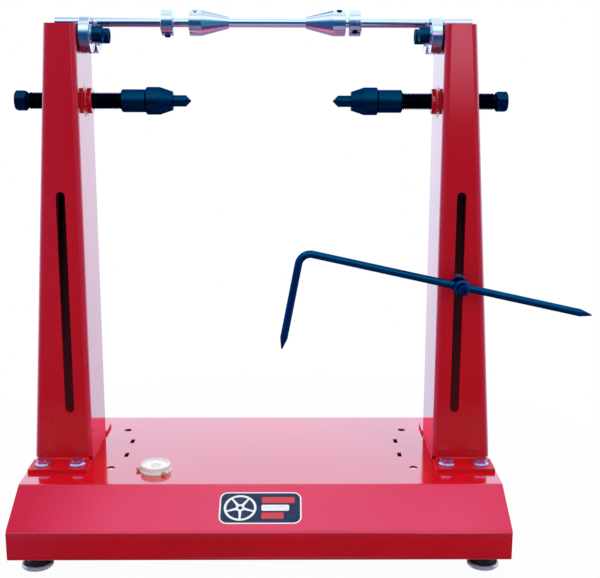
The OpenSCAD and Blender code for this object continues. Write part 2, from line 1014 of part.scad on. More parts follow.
// One straight leg of the pointer rod along +X with a pointed end, from the bend to the tip.
module leg(from, to) {
    along_x()
        rotate_extrude()
            polygon([
                [0, from],
                [rod_d / 2, from],
                [rod_d / 2, to - rod_point],
                [rod_tip_d / 2, to],
                [0, to]
            ]);
}

// The bent pointer rod, drawn in its own plane with the corner at zero.
module pointer_rod() {
    back = rod_bend / tan(leg_angle / 2);
    color(black)
    translate([corner_x, clamp_y, corner_z])
        rotate([0, pointer_tilt, 0]) {
            leg(back - eps, long_leg);
            rotate([0, leg_angle, 0])
                leg(back - eps, short_leg);
            translate([back, 0, -rod_bend])
                rotate([90, 0, 0])
                    rotate([0, 0, 90])
                        rotate_extrude(angle = 180 - leg_angle)
                            translate([rod_bend, 0])
                                circle(d = rod_d);
        }
}

// The round clamp body: cross hole for the rod, tapped front, and a stud through the slot.
module clamp_body() {
    clamp_stud_len = clamp_face_t + column_t + clamp_washer_t + clamp_nut_h + 2;
    color(black)
    translate([slot_x, clamp_seat_y, clamp_z])
        difference() {
            rotate([90, 0, 0])
                rotate_extrude()
                    polygon([
                        [0, -clamp_stud_len],
                        [clamp_stud_d / 2, -clamp_stud_len],
                        [clamp_stud_d / 2, 0],
                        [clamp_d / 2 - 0.5, 0],
                        [clamp_d / 2, 0.5],
                        [clamp_d / 2, clamp_len - 2],
                        [clamp_d / 2 - 2, clamp_len],
                        [0, clamp_len]
                    ]);
            translate([0, -clamp_len / 2, 0])
                rotate([0, pointer_tilt, 0])
                    translate([-clamp_d, 0, 0])
                        along_x()
                            cylinder(r = rod_d / 2 + run_fit, h = 2 * clamp_d);
            translate([0, -clamp_len / 2, 0])
                rotate([90, 0, 0])
                    cylinder(r = clamp_screw_d / 2 + run_fit, h = clamp_len);
        }
}

// The cap screw in the clamp body's front, which pinches the rod.
module clamp_screw() {
    reach = clamp_len / 2 - rod_d / 2 - near_gap;
    color(black)
    translate([slot_x, clamp_seat_y - clamp_len, clamp_z])
        rotate([90, 0, 0])
            difference() {
                union() {
                    translate([0, 0, -reach])
                        cylinder(d = clamp_screw_d, h = reach + clamp_head_off + eps);
                    translate([0, 0, clamp_head_off])
                        cylinder(d = clamp_head_d, h = clamp_head_h - 0.5);
                    translate([0, 0, clamp_head_off + clamp_head_h - 0.5])
                        cylinder(d1 = clamp_head_d, d2 = clamp_head_d - 1, h = 0.5);
                }
                translate([0, 0, clamp_head_off + clamp_head_h - 3])
                    cylinder(d = 5 / cos(30), h = 4, $fn = 6);
            }
}

// One washer on the clamp's stud, from depth y towards the back.
module stud_washer(y, d, t) {
    translate([slot_x, y, clamp_z])
        rotate([-90, 0, 0])
            difference() {
                cylinder(d = d, h = t);
                translate([0, 0, -1])
                    cylinder(r = clamp_stud_d / 2 + run_fit, h = t + 2);
            }
}

// The two washers of the clamp: one inside the column under the nut, one in front under the clamp body.
module clamp_washer() {
    color(zinc) {
        stud_washer(-half_col + column_t, clamp_washer_d, clamp_washer_t);
        stud_washer(clamp_seat_y, clamp_face_d, clamp_face_t);
    }
}

module clamp_nut() {
    color(zinc)
    translate([slot_x, -half_col + column_t + clamp_washer_t, clamp_z])
        rotate([-90, 0, 0])
            nut(bolt_hex, clamp_nut_h, clamp_stud_d / 2 + run_fit);
}

// The rim of the round spirit level, with the body that drops through the plate.
module level_rim() {
    lip_r = 0.8;
    color(zinc)
    translate([level_x, level_y, plate_z])
        rotate_extrude()
            polygon([
                [0, -level_deep],
                [level_hole_d / 2, -level_deep],
                [level_hole_d / 2, 0],
                [level_d / 2, 0],
                [level_d / 2, 2],
                [level_d / 2 - 1, 2],
                [level_d / 2 - 1, level_h - lip_r],
                [level_d / 2 - 1 - lip_r, level_h],
                [level_d / 2 - 3, level_h],
                [level_d / 2 - 3, 2],
                [level_hole_d / 2 - 2, 2],
                [level_hole_d / 2 - 2, -level_deep + 2],
                [0, -level_deep + 2]
            ]);
}

// The clear vial: a flat-bottomed cell with a gently domed top.
module level_vial() {
    dome_r = 60;
    cell_d = level_d - 6.2;
    cell_top = level_h - 0.6;
    color(clear)
    translate([level_x, level_y, plate_z])
        intersection() {
            translate([0, 0, cell_top - dome_r])
                sphere(r = dome_r);
            union() {
                translate([0, 0, 2])
                    cylinder(d = cell_d, h = level_h);
                translate([0, 0, -level_deep + 2])
                    cylinder(d = level_hole_d - 4.2, h = level_deep + eps);
            }
        }
}

// The three small screws whose heads hold the level's rim down.
module level_screws() {
    color(zinc)
    translate([level_x, level_y, plate_z])
        for (turn = [0, 120, 240])
            rotate([0, 0, level_turn + turn])
                translate([level_screw_at, 0, 0])
                    difference() {
                        union() {
                            translate([0, 0, -8])
                                cylinder(d = level_screw_d, h = 10.1);
                            translate([0, 0, 2])
                                cylinder(d = level_head_d, h = 1);
                            translate([0, 0, 3])
                                cylinder(d1 = level_head_d, d2 = level_head_d - 1.4, h = 0.6);
                        }
                        translate([0, 0, 3.3])
                            cube([6, 0.7, 1.2], center = true);
                    }
}

// Places the children under one corner of the base, at floor level.
module at_foot(corner) {
    translate([corner[0] * foot_x, corner[1] * foot_y, 0])
        children();
}

module foot_weld_nuts() {
    color(zinc)
    for (c = FOOT_CORNERS)
        at_foot(c)
            translate([0, 0, ground_gap + base_t])
                nut(stud_hex, weld_nut_h, stud_d / 2 + run_fit);
}

module foot_lock_nuts() {
    color(zinc)
    for (c = FOOT_CORNERS)
        at_foot(c)
            translate([0, 0, ground_gap - lock_nut_h])
                nut(stud_hex, lock_nut_h, stud_d / 2 + run_fit);
}

// The rubber pad of one foot, with the socket that the stud turns in.
module pad(corner) {
    color(rubber)
    at_foot(corner)
        rotate_extrude()
            polygon([
                [0, 0],
                [foot_d / 2 - 2.6, 0],
                [foot_d / 2 - 2.6, ring_h - 0.6],
                [stud_d / 2 + 4.5, ring_h],
                [stud_d / 2 + 3, pad_h],
                [stud_d / 2 + run_fit, pad_h],
                [stud_d / 2 + run_fit, 3],
                [0, 3]
            ]);
}

module left_front_pad() {
    pad(FOOT_CORNERS[0]);
}

module right_front_pad() {
    pad(FOOT_CORNERS[1]);
}

module left_rear_pad() {
    pad(FOOT_CORNERS[2]);
}

module right_rear_pad() {
    pad(FOOT_CORNERS[3]);
}

// The bright ring pressed round one rubber pad.
module ring(corner) {
    color(steel)
    at_foot(corner)
        rotate_extrude()
            difference() {
                translate([foot_d / 2 - 2.6, 0.4])
                    square([2.6, ring_h - 0.4]);
                for (z = [0.4, ring_h])
                    translate([foot_d / 2, z])
                        rotate(45)
                            square(1.6, center = true);
            }
}

module left_front_ring() {
    ring(FOOT_CORNERS[0]);
}

module right_front_ring() {
    ring(FOOT_CORNERS[1]);
}

module left_rear_ring() {
    ring(FOOT_CORNERS[2]);
}

module right_rear_ring() {
    ring(FOOT_CORNERS[3]);
}

// The threaded stud of one foot.
module stud(corner) {
    color(zinc)
    at_foot(corner)
        translate([0, 0, 3])
            rotate_extrude()
                polygon([
                    [0, 0],
                    [stud_d / 2, 0],
                    [stud_d / 2, stud_len - 1],
                    [stud_d / 2 - 1, stud_len],
                    [0, stud_len]
                ]);
}

module left_front_stud() {
    stud(FOOT_CORNERS[0]);
}

module right_front_stud() {
    stud(FOOT_CORNERS[1]);
}

module left_rear_stud() {
    stud(FOOT_CORNERS[2]);
}

module right_rear_stud() {
    stud(FOOT_CORNERS[3]);
}

base_shell();
left_column();
right_column();
spindle_bosses();
column_bolts();
column_nuts();
roller_bushes();
roller_inner_rings();
roller_balls();
roller_washers();
roller_screws();
roller_nuts();
left_front_roller();
left_rear_roller();
right_front_roller();
right_rear_roller();
test_shaft();
left_shaft_cone();
right_shaft_cone();
left_collar();
right_collar();
left_cone_grub();
right_cone_grub();
left_collar_grub();
right_collar_grub();
left_screw();
left_housing();
left_housing_bush();
left_housing_grubs();
left_centre_cone();
left_centre_pin();
right_screw();
right_housing();
right_housing_bush();
right_housing_grubs();
right_centre_cone();
right_centre_pin();
pointer_rod();
clamp_body();
clamp_screw();
clamp_washer();
clamp_nut();
level_rim();
level_vial();
level_screws();
foot_weld_nuts();
foot_lock_nuts();
left_front_pad();
right_front_pad();
left_rear_pad();
right_rear_pad();
left_front_ring();
right_front_ring();
left_rear_ring();
right_rear_ring();
left_front_stud();
right_front_stud();
left_rear_stud();
right_rear_stud();
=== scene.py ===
# %% [markdown]
# # A wheel balancing stand
# The stand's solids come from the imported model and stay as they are. This lesson gives them their
# finishes, swaps the plain screws for threaded ones, adds the small visible parts, and sets up the
# light and the camera. Lengths are in metres, X runs across the stand, Y to the back and Z up.

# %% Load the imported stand
import math
from functools import partial

import bmesh
import bpy
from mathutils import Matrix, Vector


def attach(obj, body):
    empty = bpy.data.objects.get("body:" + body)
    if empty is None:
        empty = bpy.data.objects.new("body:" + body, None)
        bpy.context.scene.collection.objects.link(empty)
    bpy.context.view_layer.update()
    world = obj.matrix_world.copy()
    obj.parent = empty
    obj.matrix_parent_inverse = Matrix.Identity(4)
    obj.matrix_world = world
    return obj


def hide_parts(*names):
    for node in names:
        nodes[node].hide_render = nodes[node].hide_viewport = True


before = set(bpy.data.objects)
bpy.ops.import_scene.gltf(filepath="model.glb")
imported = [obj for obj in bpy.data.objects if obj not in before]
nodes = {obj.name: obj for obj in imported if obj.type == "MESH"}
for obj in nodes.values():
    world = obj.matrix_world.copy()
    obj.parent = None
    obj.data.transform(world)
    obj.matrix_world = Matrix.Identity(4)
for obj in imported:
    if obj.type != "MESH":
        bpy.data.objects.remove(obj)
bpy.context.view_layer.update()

scene = bpy.context.scene

# %% [markdown]
# ## The camera
# The photograph was taken from a little right of the middle, at about the height of the screw
# centres, looking slightly down. Guessing a camera by eye never quite lines up, so the place, the
# angles and the focal length here were solved from thirty points whose real places are known.

# %% Camera
camera_data = bpy.data.cameras.new("camera")
camera_data.sensor_width = 36.0
camera_data.lens = 60.572
camera_data.clip_start = 0.05
camera_data.clip_end = 50.0
camera = bpy.data.objects.new("camera", camera_data)
scene.collection.objects.link(camera)
camera.location = (0.02924, -1.08838, 0.48339)
camera.rotation_euler = (math.radians(78.4150), math.radians(-0.1507), math.radians(-0.5754))
scene.camera = camera
print("camera at", tuple(round(v, 3) for v in camera.location))

# %% [markdown]
# ## Small helpers for node trees
# Every material here is a tree of shader nodes. Wiring them one by one in code gets long, so small
# helpers do the repeated work. The first adds a node with its settings. The second feeds a socket,
# with a link from another node or with a fixed value, and gives a plain colour its full opacity.
# The others rest on these two and put out what their node makes.

# %% Helpers for single nodes
def add_node(tree, kind, **settings):
    node = tree.nodes.new(kind)
    for key, value in settings.items():
        setattr(node, key, value)
    return node


def feed(tree, socket, value):
    if not isinstance(value, (int, float, tuple)):
        tree.links.new(value, socket)
    elif socket.type == "RGBA":
        socket.default_value = (*value, 1.0)
    else:
        socket.default_value = value


def math_node(tree, operation, *values):
    node = add_node(tree, "ShaderNodeMath", operation=operation)
    for socket, value in zip(node.inputs, values):
        feed(tree, socket, value)
    return node.outputs[0]


def mix_colour(tree, factor, first, second):
    node = add_node(tree, "ShaderNodeMix", data_type="RGBA")
    for index, value in ((0, factor), (6, first), (7, second)):
        feed(tree, node.inputs[index], value)
    return node.outputs[2]


def map_range(tree, value, from_low, from_high, to_low=0.0, to_high=1.0):
    node = add_node(tree, "ShaderNodeMapRange")
    for socket, given in zip(node.inputs, (value, from_low, from_high, to_low, to_high)):
        feed(tree, socket, given)
    return node.outputs[0]


def colour_ramp(tree, value, stops):
    node = add_node(tree, "ShaderNodeValToRGB")
    while len(node.color_ramp.elements) < len(stops):
        node.color_ramp.elements.new(0.5)
    for element, (position, colour) in zip(node.color_ramp.elements, stops):
        element.position = position
        element.color = (*colour, 1.0)
    feed(tree, node.inputs[0], value)
    return node.outputs[0]


print("helpers for single nodes ready")

# %% [markdown]
# ## Places, noise and bumps
# Noise is read at the point's place in the object's own coordinates, so a pattern stays on its
# piece when the piece moves. Its values seldom leave 0.3 to 0.7 and mostly lie between 0.35 and
# 0.65, and the two pairs of numbers here name those spans. A bump node turns heights into a normal.

# %% Helpers for places, noise and bumps
NOISE_MIDDLE = (0.35, 0.65)
NOISE_REACH = (0.3, 0.7)


def object_place(tree):
    return add_node(tree, "ShaderNodeTexCoord").outputs["Object"]


def split(tree, vector):
    node = add_node(tree, "ShaderNodeSeparateXYZ")
    feed(tree, node.inputs[0], vector)
    return node.outputs


def noise(tree, scale, detail=2.0, roughness=0.5, place=None):
    node = add_node(tree, "ShaderNodeTexNoise")
    feed(tree, node.inputs["Vector"], object_place(tree) if place is None else place)
    feed(tree, node.inputs["Scale"], scale)
    feed(tree, node.inputs["Detail"], detail)
    feed(tree, node.inputs["Roughness"], roughness)
    return node.outputs[0]


def bump(tree, height, distance=1.0):
    node = add_node(tree, "ShaderNodeBump")
    feed(tree, node.inputs["Height"], height)
    feed(tree, node.inputs["Distance"], distance)
    return node.outputs[0]


print("noise lies mostly within", NOISE_MIDDLE)

# %% [markdown]
# ## Groups and materials
# An effect that several materials share is a node group with named inputs and outputs. One helper
# makes an empty group, and one places it in a material with that material's own values. The last
# one starts a material and hands over the sockets of its main shader.

# %% Helpers for groups and materials
FLOAT = "NodeSocketFloat"
VECTOR = "NodeSocketVector"


def new_group(name, inputs, outputs):
    group = bpy.data.node_groups.new(name, "ShaderNodeTree")
    for socket_name, kind, default in inputs:
        socket = group.interface.new_socket(name=socket_name, in_out="INPUT", socket_type=kind)
        socket.default_value = default
    for socket_name, kind in outputs:
        group.interface.new_socket(name=socket_name, in_out="OUTPUT", socket_type=kind)
    start = group.nodes.new("NodeGroupInput")
    end = group.nodes.new("NodeGroupOutput")
    return group, start.outputs, end.inputs


def place_group(tree, group, **values):
    node = add_node(tree, "ShaderNodeGroup", node_tree=group)
    for key, value in values.items():
        feed(tree, node.inputs[key.replace("_", " ")], value)
    return node.outputs


def new_material(name):
    material = bpy.data.materials.new(name)
    material.use_nodes = True
    tree = material.node_tree
    return material, tree, tree.nodes["Principled BSDF"].inputs


print("helpers for groups and materials ready")

# %% [markdown]
# ## Orange peel
# Baked powder paint is never quite flat. It has a fine grain that shows where a highlight ends,
# and a slow waviness that bends reflections. One noise texture for each, added as heights,
# gives both, and a bump node turns the sum into a normal.

# %% Group: orange peel
peel, given, gives = new_group(
    "orange peel",
    [("Grain Size", FLOAT, 0.0012), ("Grain Depth", FLOAT, 0.00001), ("Wave Depth", FLOAT, 0.00004)],
    [("Normal", VECTOR), ("Grain", FLOAT)],
)
grain = noise(peel, math_node(peel, "DIVIDE", 1.0, given["Grain Size"]))
wave = noise(peel, scale=55.0, detail=1.0)
grain_height = math_node(peel, "MULTIPLY", grain, given["Grain Depth"])
wave_height = math_node(peel, "MULTIPLY", wave, given["Wave Depth"])
feed(peel, gives["Normal"], bump(peel, math_node(peel, "ADD", grain_height, wave_height)))
feed(peel, gives["Grain"], grain)
print("group made:", peel.name)

# %% [markdown]
# ## Turning marks
# A lathe leaves fine rings round whatever it turns. Noise stretched so that it changes only with
# the distance along the axis and out from it draws the rings on the sides and on the end faces
# at once. The axis is a point that it passes through, because the solids carry their places. The
# rollers lie in pairs, in front of the middle and behind it, and Spread is how far each one is.
# Python's partial fills in the tree once, so the arithmetic below needn't name it each time.

# %% Group: turning marks
turning, given, gives = new_group(
    "turning marks",
    [("Axis Point", VECTOR, (0.0, 0.0, 0.0)), ("Spread", FLOAT, 0.0), ("Fineness", FLOAT, 2500.0),
     ("Depth", FLOAT, 0.000004)],
    [("Normal", VECTOR), ("Rings", FLOAT)],
)
calc = partial(math_node, turning)
offset = add_node(turning, "ShaderNodeVectorMath", operation="SUBTRACT")
feed(turning, offset.inputs[0], object_place(turning))
feed(turning, offset.inputs[1], given["Axis Point"])
along, back, up = split(turning, offset.outputs[0])
across = calc("SUBTRACT", calc("ABSOLUTE", back), given["Spread"])
out = calc("SQRT", calc("ADD", calc("MULTIPLY", across, across), calc("MULTIPLY", up, up)))
ring_place = add_node(turning, "ShaderNodeCombineXYZ")
feed(turning, ring_place.inputs[0], along)
feed(turning, ring_place.inputs[1], out)
rings = noise(turning, given["Fineness"], detail=3.0, place=ring_place.outputs[0])
feed(turning, gives["Normal"], bump(turning, calc("MULTIPLY", rings, given["Depth"])))
feed(turning, gives["Rings"], rings)
print("group made:", turning.name)

# %% [markdown]
# ## Wear on edges
# Corners rub first. A bevel node rounds the normal near an edge, and where that differs from the
# true normal there is an edge. Broken up with noise, the difference is a mask of the wear.

# %% Group: edge wear
SMOOTH_LIKENESS = 0.99
EDGE_LIKENESS = 0.75
wear, given, gives = new_group(
    "edge wear",
    [("Width", FLOAT, 0.0006), ("Breaks", FLOAT, 700.0), ("Amount", FLOAT, 1.0)],
    [("Mask", FLOAT)],
)
rounded = add_node(wear, "ShaderNodeBevel", samples=4)
feed(wear, rounded.inputs["Radius"], given["Width"])
likeness = add_node(wear, "ShaderNodeVectorMath", operation="DOT_PRODUCT")
feed(wear, likeness.inputs[0], rounded.outputs[0])
feed(wear, likeness.inputs[1], add_node(wear, "ShaderNodeNewGeometry").outputs["Normal"])
edge = map_range(wear, likeness.outputs["Value"], SMOOTH_LIKENESS, EDGE_LIKENESS)
broken = map_range(wear, noise(wear, given["Breaks"], detail=4.0), *NOISE_MIDDLE)
mask = math_node(wear, "MULTIPLY", edge, broken)
feed(wear, gives["Mask"], math_node(wear, "MULTIPLY", mask, given["Amount"]))
print("group made:", wear.name)

# %% [markdown]
# ## Settled dust
# A workshop tool is clean but not spotless. Dust settles where the surface faces up, in clouds,
# and dulls the gloss a little. The mask is the upward part of the normal times a soft noise.

# %% Group: settled dust
DUST_SLOPE = (0.3, 1.0)
THINNEST_CLOUD = 0.2
dust, given, gives = new_group(
    "settled dust",
    [("Amount", FLOAT, 0.05), ("Cloud Size", FLOAT, 0.06)],
    [("Mask", FLOAT)],
)
normal = add_node(dust, "ShaderNodeNewGeometry").outputs["Normal"]
upward = map_range(dust, split(dust, normal)[2], *DUST_SLOPE)
clouds = noise(dust, math_node(dust, "DIVIDE", 1.0, given["Cloud Size"]), detail=5.0, roughness=0.7)
cloudy = map_range(dust, clouds, *NOISE_REACH, THINNEST_CLOUD, 1.0)
mask = math_node(dust, "MULTIPLY", upward, cloudy)
feed(dust, gives["Mask"], math_node(dust, "MULTIPLY", mask, given["Amount"]))
print("group made:", dust.name)

# %% [markdown]
# ## Painted shade inside the channels
# The inside of a folded channel is painted a dark shade in place of the red. The mask is worked
# out from the place of a point: for a column, everything between its sheet's inner faces, and for
# the base, everything under the sheet's inner faces, slopes included.
#
# Both groups say more about the paint at a place. Shade grows slowly, up a column or out to the
# base's ends, and sets how dark the painted shade inside is and which painted reflection colour
# mirrors show there. Satin is where the clear coat is thin or missing: on the slopes, the skirts
# and the lower fronts of the columns, while the plate and the walls stay like glass. Matt is where
# the grain is coarser: on the slopes and on the columns' feet.

# %% Group: inside of a column
INSIDE_EDGE = (-0.0008, -0.0002)
column_inside, given, gives = new_group(
    "inside of a column",
    [("Inner Wall", FLOAT, 0.190), ("Half Depth", FLOAT, 0.040)],
    [("Mask", FLOAT), ("Satin", FLOAT), ("Matt", FLOAT), ("Shade", FLOAT)],
)
calc = partial(math_node, column_inside)
span = partial(map_range, column_inside)
x, y, z = split(column_inside, object_place(column_inside))
beyond = calc("SUBTRACT", calc("ABSOLUTE", x), given["Inner Wall"])
between = calc("SUBTRACT", given["Half Depth"], calc("ABSOLUTE", y))
on_front = span(y, -0.0442, -0.0432, 1.0, 0.0)
lower_half = span(z, 0.16, 0.34, 1.0, 0.1)
near_foot = span(z, 0.105, 0.150, 1.0, 0.0)
feed(column_inside, gives["Mask"], span(calc("MINIMUM", beyond, between), *INSIDE_EDGE))
feed(column_inside, gives["Satin"], calc("MULTIPLY", on_front, lower_half))
feed(column_inside, gives["Matt"], calc("MULTIPLY", on_front, near_foot))
# Shade darkens the painted shade inside towards a column's top, and picks the painted reflection colour.
feed(column_inside, gives["Shade"], span(z, 0.12, 0.42))
print("group made:", column_inside.name)

# %% [markdown]
# ## Painted sheen on the slopes
# The base's group has two more outputs for the slopes. Sheen is a painted crimson sheen over the
# slopes' colour. Deep marks their ends, which are painted darker as shade: the painted sheen thins
# out there and reflections take the paint's own colour. The fold at the foot of a slope stays
# glossy in a narrow strip, which draws a thin light line along it.

# %% Group: inside of the base
PLATE_EDGE = 0.106
PLATE_TOP = 0.076
SLOPE_RUN = 0.9008
SLOPE_DROP = 0.4343
SHEET = 0.0025
FLANGE_TOP = 0.020
base_inside, given, gives = new_group(
    "inside of the base",
    [("Half Width", FLOAT, 0.2475), ("Half Depth", FLOAT, 0.1595), ("Plate Underside", FLOAT, 0.0735)],
    [("Mask", FLOAT), ("Satin", FLOAT), ("Sheen", FLOAT), ("Matt", FLOAT), ("Deep", FLOAT),
     ("Shade", FLOAT)],
)
calc = partial(math_node, base_inside)
span = partial(map_range, base_inside)
x, y, z = split(base_inside, object_place(base_inside))
wide = calc("ABSOLUTE", x)
deep = calc("ABSOLUTE", y)
outward = calc("MULTIPLY", calc("SUBTRACT", deep, PLATE_EDGE), SLOPE_DROP)
upward = calc("MULTIPLY", calc("SUBTRACT", z, PLATE_TOP), SLOPE_RUN)
nearest = calc("SUBTRACT", -SHEET, calc("ADD", outward, upward))
for under in (calc("SUBTRACT", given["Half Width"], wide), calc("SUBTRACT", given["Half Depth"], deep),
              calc("SUBTRACT", given["Plate Underside"], z), calc("SUBTRACT", z, FLANGE_TOP)):
    nearest = calc("MINIMUM", nearest, under)
off_plate = span(deep, 0.104, 0.108)
on_slope_face = calc("MULTIPLY", off_plate, span(z, 0.0472, 0.0487))
fold = calc("MULTIPLY", span(z, 0.0410, 0.0430), span(z, 0.0475, 0.0490, 1.0, 0.0))
# Painted shade at the slopes' ends, strong at the left end and weaker at the right.
near_ends = calc("MAXIMUM", span(x, -0.235, -0.145, 1.0, 0.0), span(x, 0.19, 0.25, 0.0, 0.4))
painted_shade_ends = calc("MULTIPLY", on_slope_face, near_ends)
feed(base_inside, gives["Mask"], span(nearest, *INSIDE_EDGE))
feed(base_inside, gives["Satin"], calc("MULTIPLY", off_plate, calc("SUBTRACT", 1.0, fold)))
feed(base_inside, gives["Matt"], on_slope_face)
feed(base_inside, gives["Deep"], painted_shade_ends)
feed(base_inside, gives["Sheen"], calc("SUBTRACT", on_slope_face, calc("MULTIPLY", painted_shade_ends, 0.55)))
# Shade grows towards the base's ends, for the painted inside shade and the painted reflection colours.
feed(base_inside, gives["Shade"], span(wide, 0.10, 0.17))
print("group made:", base_inside.name)

# %% [markdown]
# ## Red paint
# The folded sheet is sprayed a deep red and baked to a high gloss. A clear coat over a coloured
# base gives two reflections on top of each other, weak when looked at squarely and strong at a low
# angle, which turns the plate and the inner walls into mirrors. Both are a little blurred by the
# grain, so what stands on the plate shows sharply where it touches and melts away further up.
# Metallic tints the reflections with the paint's colour, and is used far inside and at the
# slopes' ends, where it deepens the painted shade. For mirror rays Light Path takes the gloss away
# and puts in painted reflection colours: vivid red on the column walls, dark painted shade at the
# columns' tops, a pale pink painted reflection in the base's middle and red at its ends.

# %% Colours of the red paint
PAINT = (0.60, 0.0008, 0.0045)
DEEP_PAINT = (0.54, 0.0006, 0.0040)
# A painted crimson sheen for the base's slopes.
PAINTED_CRIMSON_SHEEN = (0.62, 0.013, 0.095)
FLECK = (0.86, 0.008, 0.036)
RUBBED_PAINT = (0.80, 0.02, 0.05)
PALE_DUST = (0.75, 0.55, 0.55)
# Painted shade inside the channels: the lighter one low in a column and in the base's middle, the darker one
# at a column's top and the base's ends.
LIGHT_INSIDE_SHADE = (0.120, 0.002, 0.004)
DARK_INSIDE_SHADE = (0.014, 0.0006, 0.0016)
# Painted reflection colours that only mirrors see: red at the base's ends, pale pink in its middle, vivid red
# on the column walls and dark painted shade at the columns' tops.
PAINTED_REFLECTION_PLATE = (0.92, 0.055, 0.150)
PAINTED_REFLECTION_MIDDLE = (0.75, 0.22, 0.46)
PAINTED_REFLECTION_WALL = (0.98, 0.008, 0.045)
PAINTED_REFLECTION_TOP = (0.22, 0.002, 0.008)
FLECKS_EVERYWHERE = 0.06
FLECKS_IN_SHEEN = 0.22
print("paint:", PAINT)


# %% Material: red paint
def red_paint(name, inside_group, grain_depth, painted_reflection_low, painted_reflection_high, gloss):
    material, tree, paint = new_material(name)
    calc = partial(math_node, tree)
    mix = partial(mix_colour, tree)
    surface = place_group(tree, peel, Grain_Size=0.0024, Grain_Depth=grain_depth, Wave_Depth=0.00002)
    worn = place_group(tree, wear, Width=0.0006, Breaks=450.0, Amount=0.25)["Mask"]
    dusty = place_group(tree, dust, Amount=0.003, Cloud_Size=0.05)["Mask"]
    inside = place_group(tree, inside_group)
    mirrored = add_node(tree, "ShaderNodeLightPath").outputs["Is Glossy Ray"]
    blotches = map_range(tree, noise(tree, scale=9.0, detail=3.0), *NOISE_MIDDLE)
    base = mix(blotches, DEEP_PAINT, PAINT)
    flecks = map_range(tree, surface["Grain"], *NOISE_MIDDLE)
    fleck_amount = FLECKS_EVERYWHERE
    metal = calc("MULTIPLY", calc("MULTIPLY", inside["Mask"], inside["Shade"]), 0.7)
    # Painted crimson sheen on the base's slopes, and more metal at their painted-shade ends.
    if "Sheen" in inside:
        base = mix(inside["Sheen"], base, PAINTED_CRIMSON_SHEEN)
        fleck_amount = calc("ADD", FLECKS_EVERYWHERE, calc("MULTIPLY", inside["Sheen"], FLECKS_IN_SHEEN))
        metal = calc("MAXIMUM", metal, calc("MULTIPLY", inside["Deep"], 0.75))
    base = mix(calc("MULTIPLY", flecks, fleck_amount), base, FLECK)
    base = mix(worn, base, RUBBED_PAINT)
    base = mix(dusty, base, PALE_DUST)
    # Painted shade inside the channels, darker towards a column's top and the base's ends.
    painted_inside_shade = mix(inside["Shade"], LIGHT_INSIDE_SHADE, DARK_INSIDE_SHADE)
    base = mix(inside["Mask"], base, painted_inside_shade)
    # Painted reflection colours, which only mirror rays see, with the painted inside shade mixed in.
    painted_reflection = mix(inside["Shade"], painted_reflection_low, painted_reflection_high)
    painted_reflection = mix(inside["Mask"], painted_reflection, painted_inside_shade)
    feed(tree, paint["Base Color"], mix(mirrored, base, painted_reflection))
    feed(tree, paint["Metallic"], metal)
    rough = calc("ADD", map_range(tree, surface["Grain"], *NOISE_REACH, 0.10, 0.16), dusty)
    rough = calc("ADD", rough, calc("MULTIPLY", inside["Matt"], 0.30))
    rough = calc("ADD", rough, calc("MULTIPLY", inside["Mask"], 0.45))
    feed(tree, paint["Roughness"], calc("MAXIMUM", rough, calc("MULTIPLY", mirrored, 0.85)))
    feed(tree, paint["Normal"], surface["Normal"])
    coat = calc("SUBTRACT", 1.0, calc("MAXIMUM", inside["Mask"], mirrored))
    feed(tree, paint["Coat Weight"], calc("MULTIPLY", coat, calc("SUBTRACT", 1.0, inside["Satin"])))
    feed(tree, paint["Coat Roughness"], 0.09)
    feed(tree, paint["Coat IOR"], 1.6)
    feed(tree, paint["IOR"], gloss)
    return material


base_paint = red_paint("base_paint", base_inside, 0.000013, PAINTED_REFLECTION_MIDDLE, PAINTED_REFLECTION_PLATE, gloss=1.65)
column_paint = red_paint("column_paint", column_inside, 0.000014, PAINTED_REFLECTION_WALL, PAINTED_REFLECTION_TOP, gloss=1.5)
print("materials:", base_paint.name, column_paint.name)

# %% [markdown]
# ## Blackened steel
# The screws, centres and pointer are blacked in a hot salt bath. The film is a blue-black oxide
# with a satin sheen, thin enough for the turning marks to show, and it rubs through to grey steel
# along edges. It is a metal with a very dark colour, and the marks are the ring group's.

# %% Material: blackened steel
BLACK_FILM = (0.0005, 0.060, 0.138)
RUBBED_FILM = (0.03, 0.20, 0.34)
FILM_AT_A_GLANCE = (0.05, 0.30, 0.55)


def blackened_steel(name, axis_point, spread=0.0, film=BLACK_FILM, depth=0.000004, edge_amount=0.3):
    material, tree, steel = new_material(name)
    marks = place_group(tree, turning, Axis_Point=axis_point, Spread=spread, Fineness=1500.0, Depth=depth)
    worn = place_group(tree, wear, Width=0.0005, Breaks=900.0, Amount=edge_amount)["Mask"]
    thick_film = tuple(0.7 * c for c in film)
    tone = mix_colour(tree, noise(tree, scale=130.0, detail=4.0), thick_film, film)
    feed(tree, steel["Base Color"], mix_colour(tree, worn, tone, RUBBED_FILM))
    feed(tree, steel["Metallic"], 1.0)
    feed(tree, steel["Specular Tint"], FILM_AT_A_GLANCE)
    feed(tree, steel["Roughness"], map_range(tree, marks["Rings"], *NOISE_REACH, 0.25, 0.35))
    feed(tree, steel["Normal"], marks["Normal"])
    return material


SHAFT_AXIS = (0.0, 0.0, 0.544)
SCREW_AXIS = (0.0, 0.0, 0.4635)
ROLLER_AXIS = (0.0, 0.0, 0.531)
ROLLER_SPREAD = 0.01994
POINTER_AXIS = (0.208, -0.0571, 0.2745)
black_centre = blackened_steel("black_centre", SCREW_AXIS)
black_thread = blackened_steel("black_thread", SCREW_AXIS, film=(0.0006, 0.010, 0.028), edge_amount=0.0)
black_hexagon = blackened_steel("black_hexagon", SCREW_AXIS, film=(0.004, 0.045, 0.120))
black_pointer = blackened_steel("black_pointer", POINTER_AXIS, film=(0.0005, 0.095, 0.230), depth=0.000002)
black_fastener = blackened_steel("black_fastener", ROLLER_AXIS, ROLLER_SPREAD, film=(0.002, 0.075, 0.150))
print("materials:", black_centre.name, black_thread.name, black_pointer.name, black_fastener.name)

